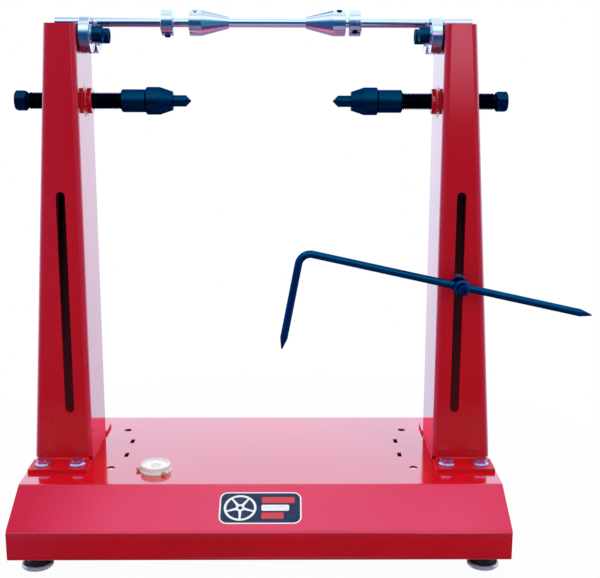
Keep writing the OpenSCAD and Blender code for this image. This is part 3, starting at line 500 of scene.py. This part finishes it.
# %% [markdown]
# ## Bright turned steel
# The shaft is ground, so it is almost a mirror with very fine rings. The cones and collars are
# turned and polished, with rings a little coarser. Both are bare steel, so the metal's own colour
# is a slightly blue grey, and fingerprints make the gloss uneven. The rings round the feet are
# only thinly plated, so they reflect less, and less than half of their look is metal.

# %% Material: turned steel
BARE_STEEL = (0.66, 0.78, 0.86)
POLISHED_EDGE = (0.86, 0.93, 0.97)
BRIGHTEST = 0.94


def bright_steel(name, axis_point, spread, fineness, depth, roughness, dark=BARE_STEEL, metal=1.0):
    material, tree, steel = new_material(name)
    marks = place_group(tree, turning, Axis_Point=axis_point, Spread=spread, Fineness=fineness, Depth=depth)
    worn = place_group(tree, wear, Width=0.0004, Breaks=1200.0, Amount=0.5)["Mask"]
    bright = tuple(min(BRIGHTEST, 1.12 * c) for c in dark)
    tone = mix_colour(tree, marks["Rings"], dark, bright)
    feed(tree, steel["Base Color"], mix_colour(tree, worn, tone, POLISHED_EDGE))
    feed(tree, steel["Metallic"], metal)
    prints = noise(tree, scale=60.0, detail=6.0)
    feed(tree, steel["Roughness"], map_range(tree, prints, 0.35, 0.7, *roughness))
    feed(tree, steel["Normal"], marks["Normal"])
    return material


ground_steel = bright_steel("ground_steel", SHAFT_AXIS, 0.0, 6000.0, 0.0000008, (0.07, 0.13))
turned_steel = bright_steel("turned_steel", SHAFT_AXIS, 0.0, 2600.0, 0.000002, (0.12, 0.20))
bearing_steel = bright_steel("bearing_steel", ROLLER_AXIS, ROLLER_SPREAD, 3500.0, 0.000001, (0.12, 0.22))
ring_chrome = bright_steel("ring_chrome", (0.0, 0.0, 0.0), 0.0, 300.0, 0.0000008, (0.14, 0.22),
                           dark=(0.58, 0.72, 0.84), metal=0.40)
print("materials:", ground_steel.name, turned_steel.name, bearing_steel.name, ring_chrome.name)

# %% [markdown]
# ## Zinc plate
# The bolts and nuts are zinc plated and passivated, which leaves a blue cast that drifts to a
# paler blue in patches. Their edges, hollow ones too, turn pale blue-white: partly rubbed zinc and
# partly a painted highlight. The stamped faces are satin, with tiny pits, so the bump is plain noise.

# %% Material: zinc plate
BLUE_CAST = (0.30, 0.44, 0.80)
PALE_CAST = (0.42, 0.54, 0.84)
# Pale blue-white for the edges: partly rubbed zinc, partly a painted highlight.
ZINC_WEAR_AND_HIGHLIGHT = (0.86, 0.90, 0.98)


def zinc_plate(name):
    material, tree, plate = new_material(name)
    worn = place_group(tree, wear, Width=0.0005, Breaks=500.0, Amount=1.0)["Mask"]
    patches = map_range(tree, noise(tree, scale=90.0, detail=3.0), *NOISE_MIDDLE)
    cast = mix_colour(tree, patches, BLUE_CAST, PALE_CAST)
    # Edges: partly rubbed zinc, partly a painted highlight.
    feed(tree, plate["Base Color"], mix_colour(tree, worn, cast, ZINC_WEAR_AND_HIGHLIGHT))
    feed(tree, plate["Metallic"], 0.95)
    pits = noise(tree, scale=2600.0)
    feed(tree, plate["Roughness"], map_range(tree, pits, *NOISE_REACH, 0.14, 0.24))
    feed(tree, plate["Normal"], bump(tree, pits, distance=0.000006))
    return material


zinc = zinc_plate("zinc")
print("material:", zinc.name)

# %% [markdown]
# ## Rubber and brass
# The pads are moulded rubber with a dusty bloom. The bushes are brass, hidden but for their ends.

# %% Materials: rubber and brass
RUBBER = (0.010, 0.010, 0.011)
RUBBER_BLOOM = (0.030, 0.029, 0.028)
FLOOR_DUST = (0.22, 0.21, 0.20)
DARK_BRASS = (0.55, 0.36, 0.13)
LIGHT_BRASS = (0.72, 0.52, 0.24)


def moulded_rubber(name):
    material, tree, pad = new_material(name)
    bloom = map_range(tree, noise(tree, scale=160.0, detail=6.0), 0.4, 0.7)
    tone = mix_colour(tree, bloom, RUBBER, RUBBER_BLOOM)
    dusty = place_group(tree, dust, Amount=0.15, Cloud_Size=0.01)["Mask"]
    feed(tree, pad["Base Color"], mix_colour(tree, dusty, tone, FLOOR_DUST))
    pores = noise(tree, scale=1800.0)
    feed(tree, pad["Roughness"], map_range(tree, pores, *NOISE_REACH, 0.6, 0.8))
    feed(tree, pad["Normal"], bump(tree, pores, distance=0.00003))
    return material


def bush_brass(name):
    material, tree, bush = new_material(name)
    marks = place_group(tree, turning, Axis_Point=SCREW_AXIS, Spread=0.0, Fineness=2000.0, Depth=0.000003)
    feed(tree, bush["Base Color"], mix_colour(tree, marks["Rings"], DARK_BRASS, LIGHT_BRASS))
    feed(tree, bush["Metallic"], 1.0)
    feed(tree, bush["Roughness"], map_range(tree, marks["Rings"], *NOISE_REACH, 0.2, 0.35))
    feed(tree, bush["Normal"], marks["Normal"])
    return material


rubber = moulded_rubber("rubber")
brass = bush_brass("brass")
print("materials:", rubber.name, brass.name)

# %% [markdown]
# ## The level's clear cell, and inks
# The cell of the level is clear acrylic over a white dial. Alpha lets the dial show through, which
# is simpler than bending the light and doesn't darken what lies below. The printed parts are
# vinyl and enamel: the ink is faded in spots, and a little dust lies on it.

# %% Materials: clear cell, dial, inks
CLEAR_TINTS = ((0.90, 0.95, 0.99), (0.97, 0.99, 1.0))
INK_DUST = (0.6, 0.58, 0.56)


def clear_cell(name, cover):
    material, tree, cell = new_material(name)
    smears = noise(tree, scale=220.0, detail=3.0)
    feed(tree, cell["Base Color"], mix_colour(tree, smears, *CLEAR_TINTS))
    feed(tree, cell["Roughness"], map_range(tree, smears, 0.4, 0.8, 0.02, 0.10))
    feed(tree, cell["Alpha"], map_range(tree, smears, *NOISE_REACH, cover, cover + 0.08))
    feed(tree, cell["IOR"], 1.49)
    return material


def printed(name, ink, rough=0.35, gloss=0.5):
    material, tree, vinyl = new_material(name)
    fade = noise(tree, scale=260.0, detail=5.0)
    faded_ink = tuple(0.88 * c + 0.01 for c in ink)
    tone = mix_colour(tree, map_range(tree, fade, *NOISE_MIDDLE), faded_ink, ink)
    dusty = place_group(tree, dust, Amount=0.05, Cloud_Size=0.02)["Mask"]
    feed(tree, vinyl["Base Color"], mix_colour(tree, dusty, tone, INK_DUST))
    feed(tree, vinyl["Roughness"], map_range(tree, fade, *NOISE_REACH, rough - 0.05, rough + 0.08))
    surface = place_group(tree, peel, Grain_Size=0.0008, Grain_Depth=0.000002, Wave_Depth=0.000004)
    feed(tree, vinyl["Normal"], surface["Normal"])
    feed(tree, vinyl["Specular IOR Level"], gloss)
    return material


clear = clear_cell("clear", 0.03)
liquid = clear_cell("liquid", 0.14)
dial_white = printed("dial_white", (0.93, 0.95, 0.98), rough=0.30)
dial_mark = printed("dial_mark", (0.30, 0.33, 0.38), rough=0.40)
rim_white = printed("rim_white", (0.94, 1.0, 1.0), rough=0.30)
ink_white = printed("ink_white", (0.86, 0.88, 0.92))
ink_navy = printed("ink_navy", (0.001, 0.020, 0.080), gloss=0.12)
ink_red = printed("ink_red", (0.62, 0.010, 0.030))
print("materials:", clear.name, dial_white.name, ink_navy.name)

# %% [markdown]
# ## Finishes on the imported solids
# The solids that already have the right shape keep it, and only get their finish. A narrow bevel
# modifier on the metal parts catches the light along edges, as the broken edges of real parts do.
# Bevelling in the source would add many faces for half a millimetre. The table below gives each
# finish, the width of the broken edge, and the solids that take it.

# %% Finishes and bevels on the solids
SHARP_ANGLE = math.radians(32.0)
CORNERS = ("left_front", "left_rear", "right_front", "right_rear")


def both(*names):
    return [side + name for name in names for side in ("left_", "right_")]


def at_corners(name):
    return [corner + name for corner in CORNERS]


FINISHES = [
    (base_paint, 0.0005, ["base_shell"]),
    (column_paint, 0.0005, both("column")),
    (column_paint, 0.0, ["spindle_bosses"]),
    (zinc, 0.0002, ["column_bolts", "column_nuts", "roller_washers", "roller_nuts", "clamp_washer",
                    "clamp_nut", "foot_weld_nuts", "foot_lock_nuts"]),
    (zinc, 0.0, at_corners("_stud")),
    (brass, 0.0002, ["level_screws"]),
    (brass, 0.0, both("housing_bush")),
    (rim_white, 0.0002, ["level_rim"]),
    (clear, 0.0, ["level_vial"]),
    (black_fastener, 0.0002, ["roller_bushes", "roller_screws", "right_cone_grub"]),
    (black_fastener, 0.0002, both("collar_grub", "housing_grubs")),
    (black_centre, 0.0002, both("housing", "centre_cone", "centre_pin")),
    (black_thread, 0.0, both("screw")),
    (black_pointer, 0.0002, ["pointer_rod", "clamp_body", "clamp_screw"]),
    (ground_steel, 0.0, ["test_shaft"]),
    (turned_steel, 0.0002, ["left_cone_grub", *both("shaft_cone", "collar")]),
    (bearing_steel, 0.0001, ["roller_inner_rings", "roller_balls", *at_corners("_roller")]),
    (rubber, 0.0003, at_corners("_pad")),
    (ring_chrome, 0.0003, at_corners("_ring")),
]


def finish_node(name, material, bevel):
    piece = nodes[name]
    piece.data.materials.clear()
    piece.data.materials.append(material)
    if bevel > 0.0:
        modifier = piece.modifiers.new("broken_edges", "BEVEL")
        modifier.width = bevel
        modifier.segments = 2
        modifier.limit_method = "ANGLE"
        modifier.angle_limit = SHARP_ANGLE


for material, bevel, names in FINISHES:
    for name in names:
        finish_node(name, material, bevel)
print("solids finished:", sum(len(names) for _, _, names in FINISHES), "of", len(nodes))

# %% [markdown]
# ## From rings of points to a mesh
# Threads, hexagons, discs and layers of ink are all rings of points joined with faces. One helper
# joins the rings, and one turns the finished mesh into a piece with its material. Faces that meet
# at less than a set angle are shaded as one smooth surface.

# %% Helpers for meshes
def turns(count):
    return [2.0 * math.pi * index / count for index in range(count)]


def join_rings(build, rings):
    for near, far in zip(rings, rings[1:]):
        for index in range(len(near)):
            after = (index + 1) % len(near)
            build.faces.new((near[index], near[after], far[after], far[index]))


def mesh_piece(name, build, material):
    bmesh.ops.recalc_face_normals(build, faces=build.faces)
    mesh = bpy.data.meshes.new(name)
    build.to_mesh(mesh)
    build.free()
    mesh.materials.append(material)
    piece = bpy.data.objects.new(name, mesh)
    scene.collection.objects.link(piece)
    return piece


def smooth_by_angle(mesh):
    for polygon in mesh.polygons:
        polygon.use_smooth = True
    mesh.set_sharp_from_angle(angle=SHARP_ANGLE)


print("mesh helpers ready")

# %% [markdown]
# ## Skins round an axis
# Threads and hexagons are shapes whose radius changes with the distance along an axis and with the
# turn round it. One function draws any of them: it asks for the radius at each station and turn,
# and joins the rings of points with faces.

# %% Helper: skin round an axis
def skin(name, stations, segments, radius_at, place_at, material):
    build = bmesh.new()
    rings = [[build.verts.new(place_at(station, radius_at(station, turn), turn)) for turn in turns(segments)]
             for station in stations]
    join_rings(build, rings)
    build.faces.new(rings[0])
    build.faces.new(rings[-1])
    piece = mesh_piece(name, build, material)
    smooth_by_angle(piece.data)
    return piece


def spread_evenly(start, end, step):
    count = max(1, round((end - start) / step))
    return [start + (end - start) * index / count for index in range(count + 1)]


def limited(share):
    return min(1.0, max(0.0, share))


print("helper ready:", skin.__name__)

# %% [markdown]
# ## Threads
# The solids carry plain cylinders where the real screws are threaded. A right-hand thread's ridge
# goes once round while it moves one pitch along, so a point's depth depends on its distance along
# the axis less its turn. The groove is deepest half a pitch from the ridge and its sides slope at
# sixty degrees to each other. The same rule draws the big screws and the studs of the feet.

# %% The thread's groove
RIDGE_HALF = 0.12
GROOVE_SIDE = 0.70


def groove(station, turn, pitch):
    phase = (station / pitch - turn / (2.0 * math.pi)) % 1.0
    side = abs(2.0 * phase - 1.0)
    return limited((side - RIDGE_HALF) / GROOVE_SIDE)


print("deepest part of the groove:", groove(0.0, 0.0, 1.0))

# %% [markdown]
# ## The two long screws
# Each screw has a grooved tail that is held in its housing, a long thread, and a hexagon for a
# spanner at its outer end. Stations count from the housing's seat outwards, and the tail lies at
# stations below zero. The hexagon's corners are cut by a cone at each end, as on any turned bar.

# %% Threaded screws
SCREW_RADIUS = 0.00875
SCREW_PITCH = 0.002
SCREW_DEPTH = 0.00115
SCREW_SEAT = 0.148
START_RADIUS = 0.00795
TAIL_RADIUS = 0.006
TAIL_GROOVE_RADIUS = 0.0045
TAIL_GROOVE_MIDDLE = -0.005
TAIL_GROOVE_HALF = 0.0023
THREAD_END = 0.0965
NECK_RADIUS = 0.00775
HEXAGON_START = 0.0995
HEXAGON_END = 0.112
HEXAGON_FLATS = 0.019
HEXAGON_TURN = math.radians(45.0)


def screw_radius(station, turn):
    if station < 0.0:
        in_groove = abs(station - TAIL_GROOVE_MIDDLE) < TAIL_GROOVE_HALF
        return TAIL_GROOVE_RADIUS if in_groove else TAIL_RADIUS
    if station <= THREAD_END:
        fade = limited((station - 0.0006) / 0.002) * limited((THREAD_END - station) / 0.0015)
        chamfer = min(SCREW_RADIUS, START_RADIUS + station)
        return min(chamfer, SCREW_RADIUS - SCREW_DEPTH * fade * groove(station, turn, SCREW_PITCH))
    return NECK_RADIUS


def hexagon_radius(station, turn):
    sixth = math.pi / 3.0
    from_flat = (turn - HEXAGON_TURN) % sixth - sixth / 2.0
    corner = HEXAGON_FLATS / 2.0 / math.cos(from_flat)
    start_cone = 0.0090 + 1.04 * (station - HEXAGON_START)
    end_cone = 0.0092 + 1.30 * (HEXAGON_END - station)
    return min(corner, start_cone, end_cone)


def screw_piece(side):
    def place_at(station, radius, turn):
        first = radius * math.cos(turn)
        second = radius * math.sin(turn)
        if side < 0:
            return (-SCREW_SEAT - station, second, SCREW_AXIS[2] + first)
        return (SCREW_SEAT + station, first, SCREW_AXIS[2] + second)

    label = "left" if side < 0 else "right"
    stations = [-0.010, -0.00731, -0.00729, -0.00271, -0.00269, -0.00001]
    stations += spread_evenly(0.00005, THREAD_END, SCREW_PITCH / 8.0)
    stations += [THREAD_END + 0.0009, HEXAGON_START + 0.0001]
    thread = skin(label + "_screw_thread", stations, 60, screw_radius, place_at, black_thread)
    stations = [HEXAGON_START + step for step in (0.0, 0.0006, 0.0012, 0.0019)]
    stations += [HEXAGON_END - step for step in (0.0016, 0.0011, 0.0006, 0.0002, 0.0)]
    head = skin(label + "_screw_head", stations, 72, hexagon_radius, place_at, black_hexagon)
    for piece in (thread, head):
        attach(piece, label + "_screw")
    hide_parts(label + "_screw")
    return thread


screws = [screw_piece(side) for side in (-1, 1)]
print("threaded screws:", [piece.name for piece in screws])

# %% [markdown]
# ## The studs of the feet
# Each foot has a stud with a plain shank in its ring and a thread above it. The shank stays plain
# up to nine millimetres above the floor, and the end is cut to a short cone.

# %% Threaded studs
STUD_RADIUS = 0.005
STUD_PITCH = 0.0015
STUD_DEPTH = 0.00085
STUD_START = 0.003
STUD_THREAD_START = 0.009
STUD_END = 0.049
STUD_END_RADIUS = 0.0040
FOOT_X = 0.227
FOOT_Y = 0.134


def stud_radius(station, turn):
    if station < STUD_THREAD_START:
        return STUD_RADIUS
    fade = limited((station - STUD_THREAD_START) / 0.001)
    end_cone = STUD_END_RADIUS + (STUD_END - station)
    return min(end_cone, STUD_RADIUS - STUD_DEPTH * fade * groove(station, turn, STUD_PITCH))


def stud_piece(corner):
    middle_x = -FOOT_X if corner.startswith("left") else FOOT_X
    middle_y = -FOOT_Y if corner.endswith("front") else FOOT_Y

    def place_at(station, radius, turn):
        return (middle_x + radius * math.cos(turn), middle_y + radius * math.sin(turn), station)

    stations = [STUD_START, *spread_evenly(STUD_THREAD_START, STUD_END - 0.0001, STUD_PITCH / 6.0), STUD_END]
    piece = skin(corner + "_stud_thread", stations, 32, stud_radius, place_at, zinc)
    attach(piece, corner + "_stud")
    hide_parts(corner + "_stud")
    return piece


studs = [stud_piece(corner) for corner in CORNERS]
print("threaded studs:", [piece.name for piece in studs])

# %% [markdown]
# ## The round level
# Under the clear cell lies a white dial with one circle printed on it, and a bubble floats in the
# liquid above. The dial is a dished disc and the bubble is flattened against the dome. All of it
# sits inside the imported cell, so nothing sticks out. Each is an outline of radius and height,
# turned round the level's middle.

# %% Dial, circle and bubble of the level
LEVEL = (-0.1137, -0.0673, PLATE_TOP)
ROUND = 48


def turned_disc(name, material, outline):
    build = bmesh.new()
    rings = [[build.verts.new((LEVEL[0] + radius * math.cos(turn), LEVEL[1] + radius * math.sin(turn),
                               LEVEL[2] + height)) for turn in turns(ROUND)] for radius, height in outline]
    join_rings(build, rings + rings[:1])
    piece = mesh_piece(name, build, material)
    smooth_by_angle(piece.data)
    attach(piece, "frame")
    return piece


dial = turned_disc("level_dial", dial_white, [
    (0.0001, 0.0055), (0.0090, 0.0056), (0.0120, 0.0060), (0.0133, 0.0066), (0.0133, 0.0035), (0.0001, 0.0035)
])
circle = turned_disc("level_circle", dial_mark, [
    (0.0041, 0.0057), (0.0046, 0.0057), (0.0046, 0.0053), (0.0041, 0.0053)
])
bubble = turned_disc("level_bubble", liquid, [
    (0.0001, 0.0069), (0.0014, 0.0068), (0.0026, 0.0065), (0.0030, 0.0062), (0.0026, 0.0059), (0.0001, 0.0058)
])
print("level:", dial.name, circle.name, bubble.name)

# %% [markdown]
# ## A sticker on the slope
# The front slope carries a printed sticker. This one is a plain workshop sign: a wheel with spokes
# on a navy field, and three bars beside it. It is drawn in the plane of the slope, with one
# direction across the stand and the other down the slope, and each layer of ink is a thin solid.

# %% Layers of ink
SLOPE_START = Vector((0.0, -PLATE_EDGE, PLATE_TOP))
SLOPE_DOWN = Vector((0.0, -SLOPE_RUN, -SLOPE_DROP))
SLOPE_OUT = Vector((0.0, -SLOPE_DROP, SLOPE_RUN))
STICKER_MIDDLE = 0.0315
PRINT_LIFT = 0.00016
PRINT_THICK = 0.00003


def on_slope(across, down, lift):
    return SLOPE_START + Vector((across, 0.0, 0.0)) + SLOPE_DOWN * (STICKER_MIDDLE + down) + SLOPE_OUT * lift


def ink_layer(name, material, shapes, lift=PRINT_LIFT, thick=PRINT_THICK):
    build = bmesh.new()

    def raised(loop, height):
        return [build.verts.new(on_slope(u, v, height)) for u, v in loop]

    for outer, inner in shapes:
        rings = [raised(outer, lift), raised(outer, lift + thick)]
        if inner is None:
            build.faces.new(rings[0])
            build.faces.new(rings[1])
        else:
            rings += [raised(inner, lift + thick), raised(inner, lift), rings[0]]
        join_rings(build, rings)
    piece = mesh_piece(name, build, material)
    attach(piece, "frame")
    return piece


print("ink is", PRINT_THICK, "thick")

# %% [markdown]
# ## The sticker's shapes
# Three outlines are enough for the whole sign: a circle, a bar with rounded corners, and a spoke
# that gets narrower towards the rim. A shape is an outer outline, with an inner one where it is
# hollow, as the rim and the hub are.

# %% Sticker
def round_loop(u, v, radius):
    return [(u + radius * math.cos(turn), v + radius * math.sin(turn)) for turn in turns(ROUND)]


def bar_loop(u0, v0, u1, v1, radius):
    loop = []
    for cu, cv, start in ((u1 - radius, v1 - radius, 0), (u0 + radius, v1 - radius, 90),
                          (u0 + radius, v0 + radius, 180), (u1 - radius, v0 + radius, 270)):
        for step in range(7):
            turn = math.radians(start + 15 * step)
            loop.append((cu + radius * math.cos(turn), cv + radius * math.sin(turn)))
    return loop


def spoke_loop(u, v, turn, inner, outer, half):
    along = (math.cos(turn), math.sin(turn))
    across = (-along[1], along[0])
    return [(u + along[0] * reach + across[0] * shift, v + along[1] * reach + across[1] * shift)
            for reach, shift in ((inner, -half), (outer, -half * 0.6), (outer, half * 0.6), (inner, half))]


WHEEL = (-0.0205, 0.0)
EDGE_BAR = bar_loop(-0.0415, -0.0205, 0.0415, 0.0205, 0.0085)
FIELD_BAR = bar_loop(-0.0400, -0.0190, 0.0400, 0.0190, 0.0070)
RIM = (round_loop(*WHEEL, 0.0165), round_loop(*WHEEL, 0.0140))
HUB = (round_loop(*WHEEL, 0.0046), round_loop(*WHEEL, 0.0022))
SPOKES = [spoke_loop(*WHEEL, math.radians(90 + 72 * n), 0.0045, 0.0141, 0.0015) for n in range(5)]
LONG_BAR = bar_loop(0.0010, -0.0140, 0.0345, -0.0062, 0.0016)
SHORT_BAR = bar_loop(0.0010, 0.0062, 0.0235, 0.0140, 0.0016)
WHITE_BAR = bar_loop(0.0010, -0.0039, 0.0290, 0.0039, 0.0016)
sticker = [
    ink_layer("sticker_edge", ink_white, [(EDGE_BAR, None)], lift=0.00002, thick=0.00010),
    ink_layer("sticker_field", ink_navy, [(FIELD_BAR, None)], lift=0.00012, thick=0.00004),
    ink_layer("sticker_rim", ink_white, [RIM, HUB]),
    ink_layer("sticker_spokes", ink_white, [(spoke, None) for spoke in SPOKES]),
    ink_layer("sticker_red_bars", ink_red, [(LONG_BAR, None), (SHORT_BAR, None)]),
    ink_layer("sticker_white_bar", ink_white, [(WHITE_BAR, None)]),
]
print("sticker layers:", [piece.name for piece in sticker])

# %% [markdown]
# ## The floor and the backdrop
# The stand stands on a plain white floor. Near it the floor is a real surface, so that it takes
# the soft shadow; further out it fades into the white of the backdrop. Mixing in a plain white
# glow for the camera alone keeps the floor white without more light on the stand.

# %% Floor
WHITE = (1.0, 1.0, 1.0)
BLACK = (0.0, 0.0, 0.0)
FLOOR_GREY = (0.60, 0.60, 0.61)
floor_mesh = bpy.data.meshes.new("floor")
floor_build = bmesh.new()
bmesh.ops.create_grid(floor_build, x_segments=4, y_segments=4, size=6.0)
floor_build.to_mesh(floor_mesh)
floor_build.free()
floor = bpy.data.objects.new("floor", floor_mesh)
scene.collection.objects.link(floor)
floor_paint, tree, plain = new_material("floor_paint")
feed(tree, plain["Base Color"], FLOOR_GREY)
feed(tree, plain["Roughness"], 0.9)
glow = add_node(tree, "ShaderNodeEmission")
feed(tree, glow.inputs["Color"], WHITE)
distance = add_node(tree, "ShaderNodeVectorMath", operation="LENGTH")
feed(tree, distance.inputs[0], object_place(tree))
far = map_range(tree, distance.outputs["Value"], 0.30, 0.60, 0.965, 1.0)
seen = add_node(tree, "ShaderNodeLightPath").outputs["Is Camera Ray"]
blend = add_node(tree, "ShaderNodeMixShader")
feed(tree, blend.inputs[0], math_node(tree, "MULTIPLY", far, seen))
feed(tree, blend.inputs[1], tree.nodes["Principled BSDF"].outputs[0])
feed(tree, blend.inputs[2], glow.outputs[0])
feed(tree, tree.nodes["Material Output"].inputs[0], blend.outputs[0])
floor_mesh.materials.append(floor_paint)
floor.visible_glossy = False
print("floor:", floor.name)

# %% [markdown]
# ## The studio's surroundings
# Bright steel shows the room more than itself. In a studio the backdrop and the ceiling are white
# and a little blue, and the side where the photographer stands is a deep blue dusk that gets
# lighter towards the ceiling. That draws the dark band along every cylinder. A dim strip nearly
# overhead draws the faint grey line above it. Both are ramps of colour from straight down to
# straight up, one for the back of the room and one for the front.

# %% World: two ramps of colour
DUSK_AT_THE_SIDES = (0.16, 0.20, 0.62)
world = bpy.data.worlds.new("studio")
scene.world = world
world.use_nodes = True
sky = world.node_tree
sky.nodes.clear()
calc = partial(math_node, sky)
span = partial(map_range, sky)
path = add_node(sky, "ShaderNodeLightPath").outputs
sideways, onward, upward = split(sky, add_node(sky, "ShaderNodeTexCoord").outputs["Generated"])
aside = calc("ABSOLUTE", sideways)
height = span(upward, -1.0, 1.0)
backdrop = colour_ramp(sky, height, [
    (0.00, (0.24, 0.16, 0.26)),
    (0.20, (0.36, 0.28, 0.44)),
    (0.31, (0.76, 0.74, 0.95)),
    (0.45, (0.97, 0.99, 1.22)),
    (0.53, (1.06, 1.14, 1.34)),
    (0.64, (1.24, 1.36, 1.72)),
    (0.80, (1.15, 1.20, 1.50)),
    (1.00, (1.12, 1.16, 1.34)),
])
front = colour_ramp(sky, height, [
    (0.00, (0.12, 0.07, 0.15)),
    (0.16, (0.08, 0.06, 0.13)),
    (0.24, (0.01, 0.04, 0.11)),
    (0.34, (0.010, 0.06, 0.15)),
    (0.48, (0.004, 0.04, 0.11)),
    (0.54, (0.010, 0.10, 0.24)),
    (0.59, (0.040, 0.22, 0.44)),
    (0.64, (0.10, 0.34, 0.58)),
    (0.685, (0.60, 0.80, 0.97)),
    (0.74, (1.10, 1.18, 1.20)),
    (0.84, (1.30, 1.34, 1.36)),
    (0.915, (1.02, 1.05, 1.05)),
    (0.932, (0.62, 0.70, 0.82)),
    (0.946, (0.62, 0.70, 0.82)),
    (0.962, (1.02, 1.05, 1.05)),
])
front = mix_colour(sky, span(aside, 0.40, 0.85), front, DUSK_AT_THE_SIDES)
print("world:", world.name)

# %% [markdown]
# ## Five soft patches in the front half
# Patches of colour stand in for things in front of the stand: a blue screen on each side, which
# the cones pick up, a dark screen behind the camera, the pale table edge below it, and a window at
# the right that shines on the right column. A patch is a box of directions with soft edges: how
# far it fades in and out sideways, and how far it does so upwards.

# %% World: patches
PATCHES = {
    "left screen": ((-0.48, -0.42), (-0.26, -0.20), (-0.60, -0.50), (0.20, 0.28), (0.010, 0.12, 0.34)),
    "right screen": ((0.20, 0.26), (0.42, 0.48), (-0.60, -0.50), (0.20, 0.28), (0.070, 0.26, 0.48)),
    "dark screen": ((-0.15, -0.09), (0.09, 0.15), (-0.36, -0.26), (0.20, 0.28), (0.010, 0.085, 0.22)),
    "table edge": ((-0.10, -0.07), (0.07, 0.10), (-0.95, -0.85), (-0.52, -0.46), (0.40, 0.42, 0.66)),
    "window": ((0.10, 0.15), (0.185, 0.215), (-0.03, 0.03), (0.20, 0.32), (2.30, 1.15, 1.70)),
}


def patch(below, left, right, low, high, colour):
    across = calc("MULTIPLY", span(sideways, *left), span(sideways, *right, 1.0, 0.0))
    up = calc("MULTIPLY", span(upward, *low), span(upward, *high, 1.0, 0.0))
    return mix_colour(sky, calc("MULTIPLY", across, up), below, colour)


for edges_and_colour in PATCHES.values():
    front = patch(front, *edges_and_colour)
print("patches:", list(PATCHES))

# %% [markdown]
# ## Putting the room together
# The ceiling gets darker at both of its edges, within a limited width. The front and the back meet
# softly above the stand. The world gives the camera plain white, gives mirrors that room, and
# lights the rest with a soft even grey that is brighter from above.

# %% World: ceiling, mirrors and camera
DARK_CEILING = (0.10, 0.10, 0.26)
on_ceiling = span(upward, 0.70, 0.88)
edges = calc("MAXIMUM", span(sideways, -0.12, -0.24), span(sideways, 0.13, 0.22, 0.0, 0.6))
edges = calc("MULTIPLY", edges, span(aside, 0.26, 0.30, 1.0, 0.0))
back = mix_colour(sky, calc("MULTIPLY", on_ceiling, edges), backdrop, DARK_CEILING)
room = mix_colour(sky, span(onward, 0.10, -0.15), back, front)
ambient = mix_colour(sky, span(upward, -0.4, 0.9, 0.21, 0.52), BLACK, WHITE)
mirrors = calc("MAXIMUM", path["Is Glossy Ray"], path["Is Transmission Ray"])
shown = mix_colour(sky, mirrors, ambient, room)
shown = mix_colour(sky, path["Is Camera Ray"], shown, WHITE)
background = add_node(sky, "ShaderNodeBackground")
feed(sky, background.inputs["Color"], shown)
world_out = add_node(sky, "ShaderNodeOutputWorld")
feed(sky, world_out.inputs[0], background.outputs[0])
print("world nodes:", len(sky.nodes))

# %% [markdown]
# ## The lamps
# One wide soft panel overhead does most of the work, as a softbox over a product table does. Two
# weaker panels fill the front from the left and the right. Their size keeps shadows soft. Mirrors
# don't see them, because the room above already says what steel reflects.

# %% Lamps
def soft_panel(name, place, aim, width, height, watts):
    lamp = bpy.data.lights.new(name, "AREA")
    lamp.shape = "RECTANGLE"
    lamp.size = width
    lamp.size_y = height
    lamp.energy = watts
    panel = bpy.data.objects.new(name, lamp)
    scene.collection.objects.link(panel)
    panel.location = place
    panel.rotation_euler = (Vector(aim) - Vector(place)).to_track_quat("-Z", "Y").to_euler()
    panel.visible_camera = False
    panel.visible_glossy = False
    return panel


lamps = [
    soft_panel("top_panel", (0.0, 0.3, 2.4), (0.0, 0.0, 0.2), 2.6, 2.2, watts=46.0),
    soft_panel("left_panel", (-1.6, -1.6, 1.2), (0.0, 0.0, 0.25), 1.0, 1.0, watts=5.0),
    soft_panel("right_panel", (1.6, -1.6, 1.2), (0.0, 0.0, 0.25), 1.0, 1.0, watts=10.0),
]
print("lamps:", [lamp.name for lamp in lamps])

# %% [markdown]
# ## Colours as written
# The standard view shows a colour as it is written, which makes matching against a photograph
# plain work.

# %% View
scene.view_settings.view_transform = "Standard"
print("view:", scene.view_settings.view_transform)
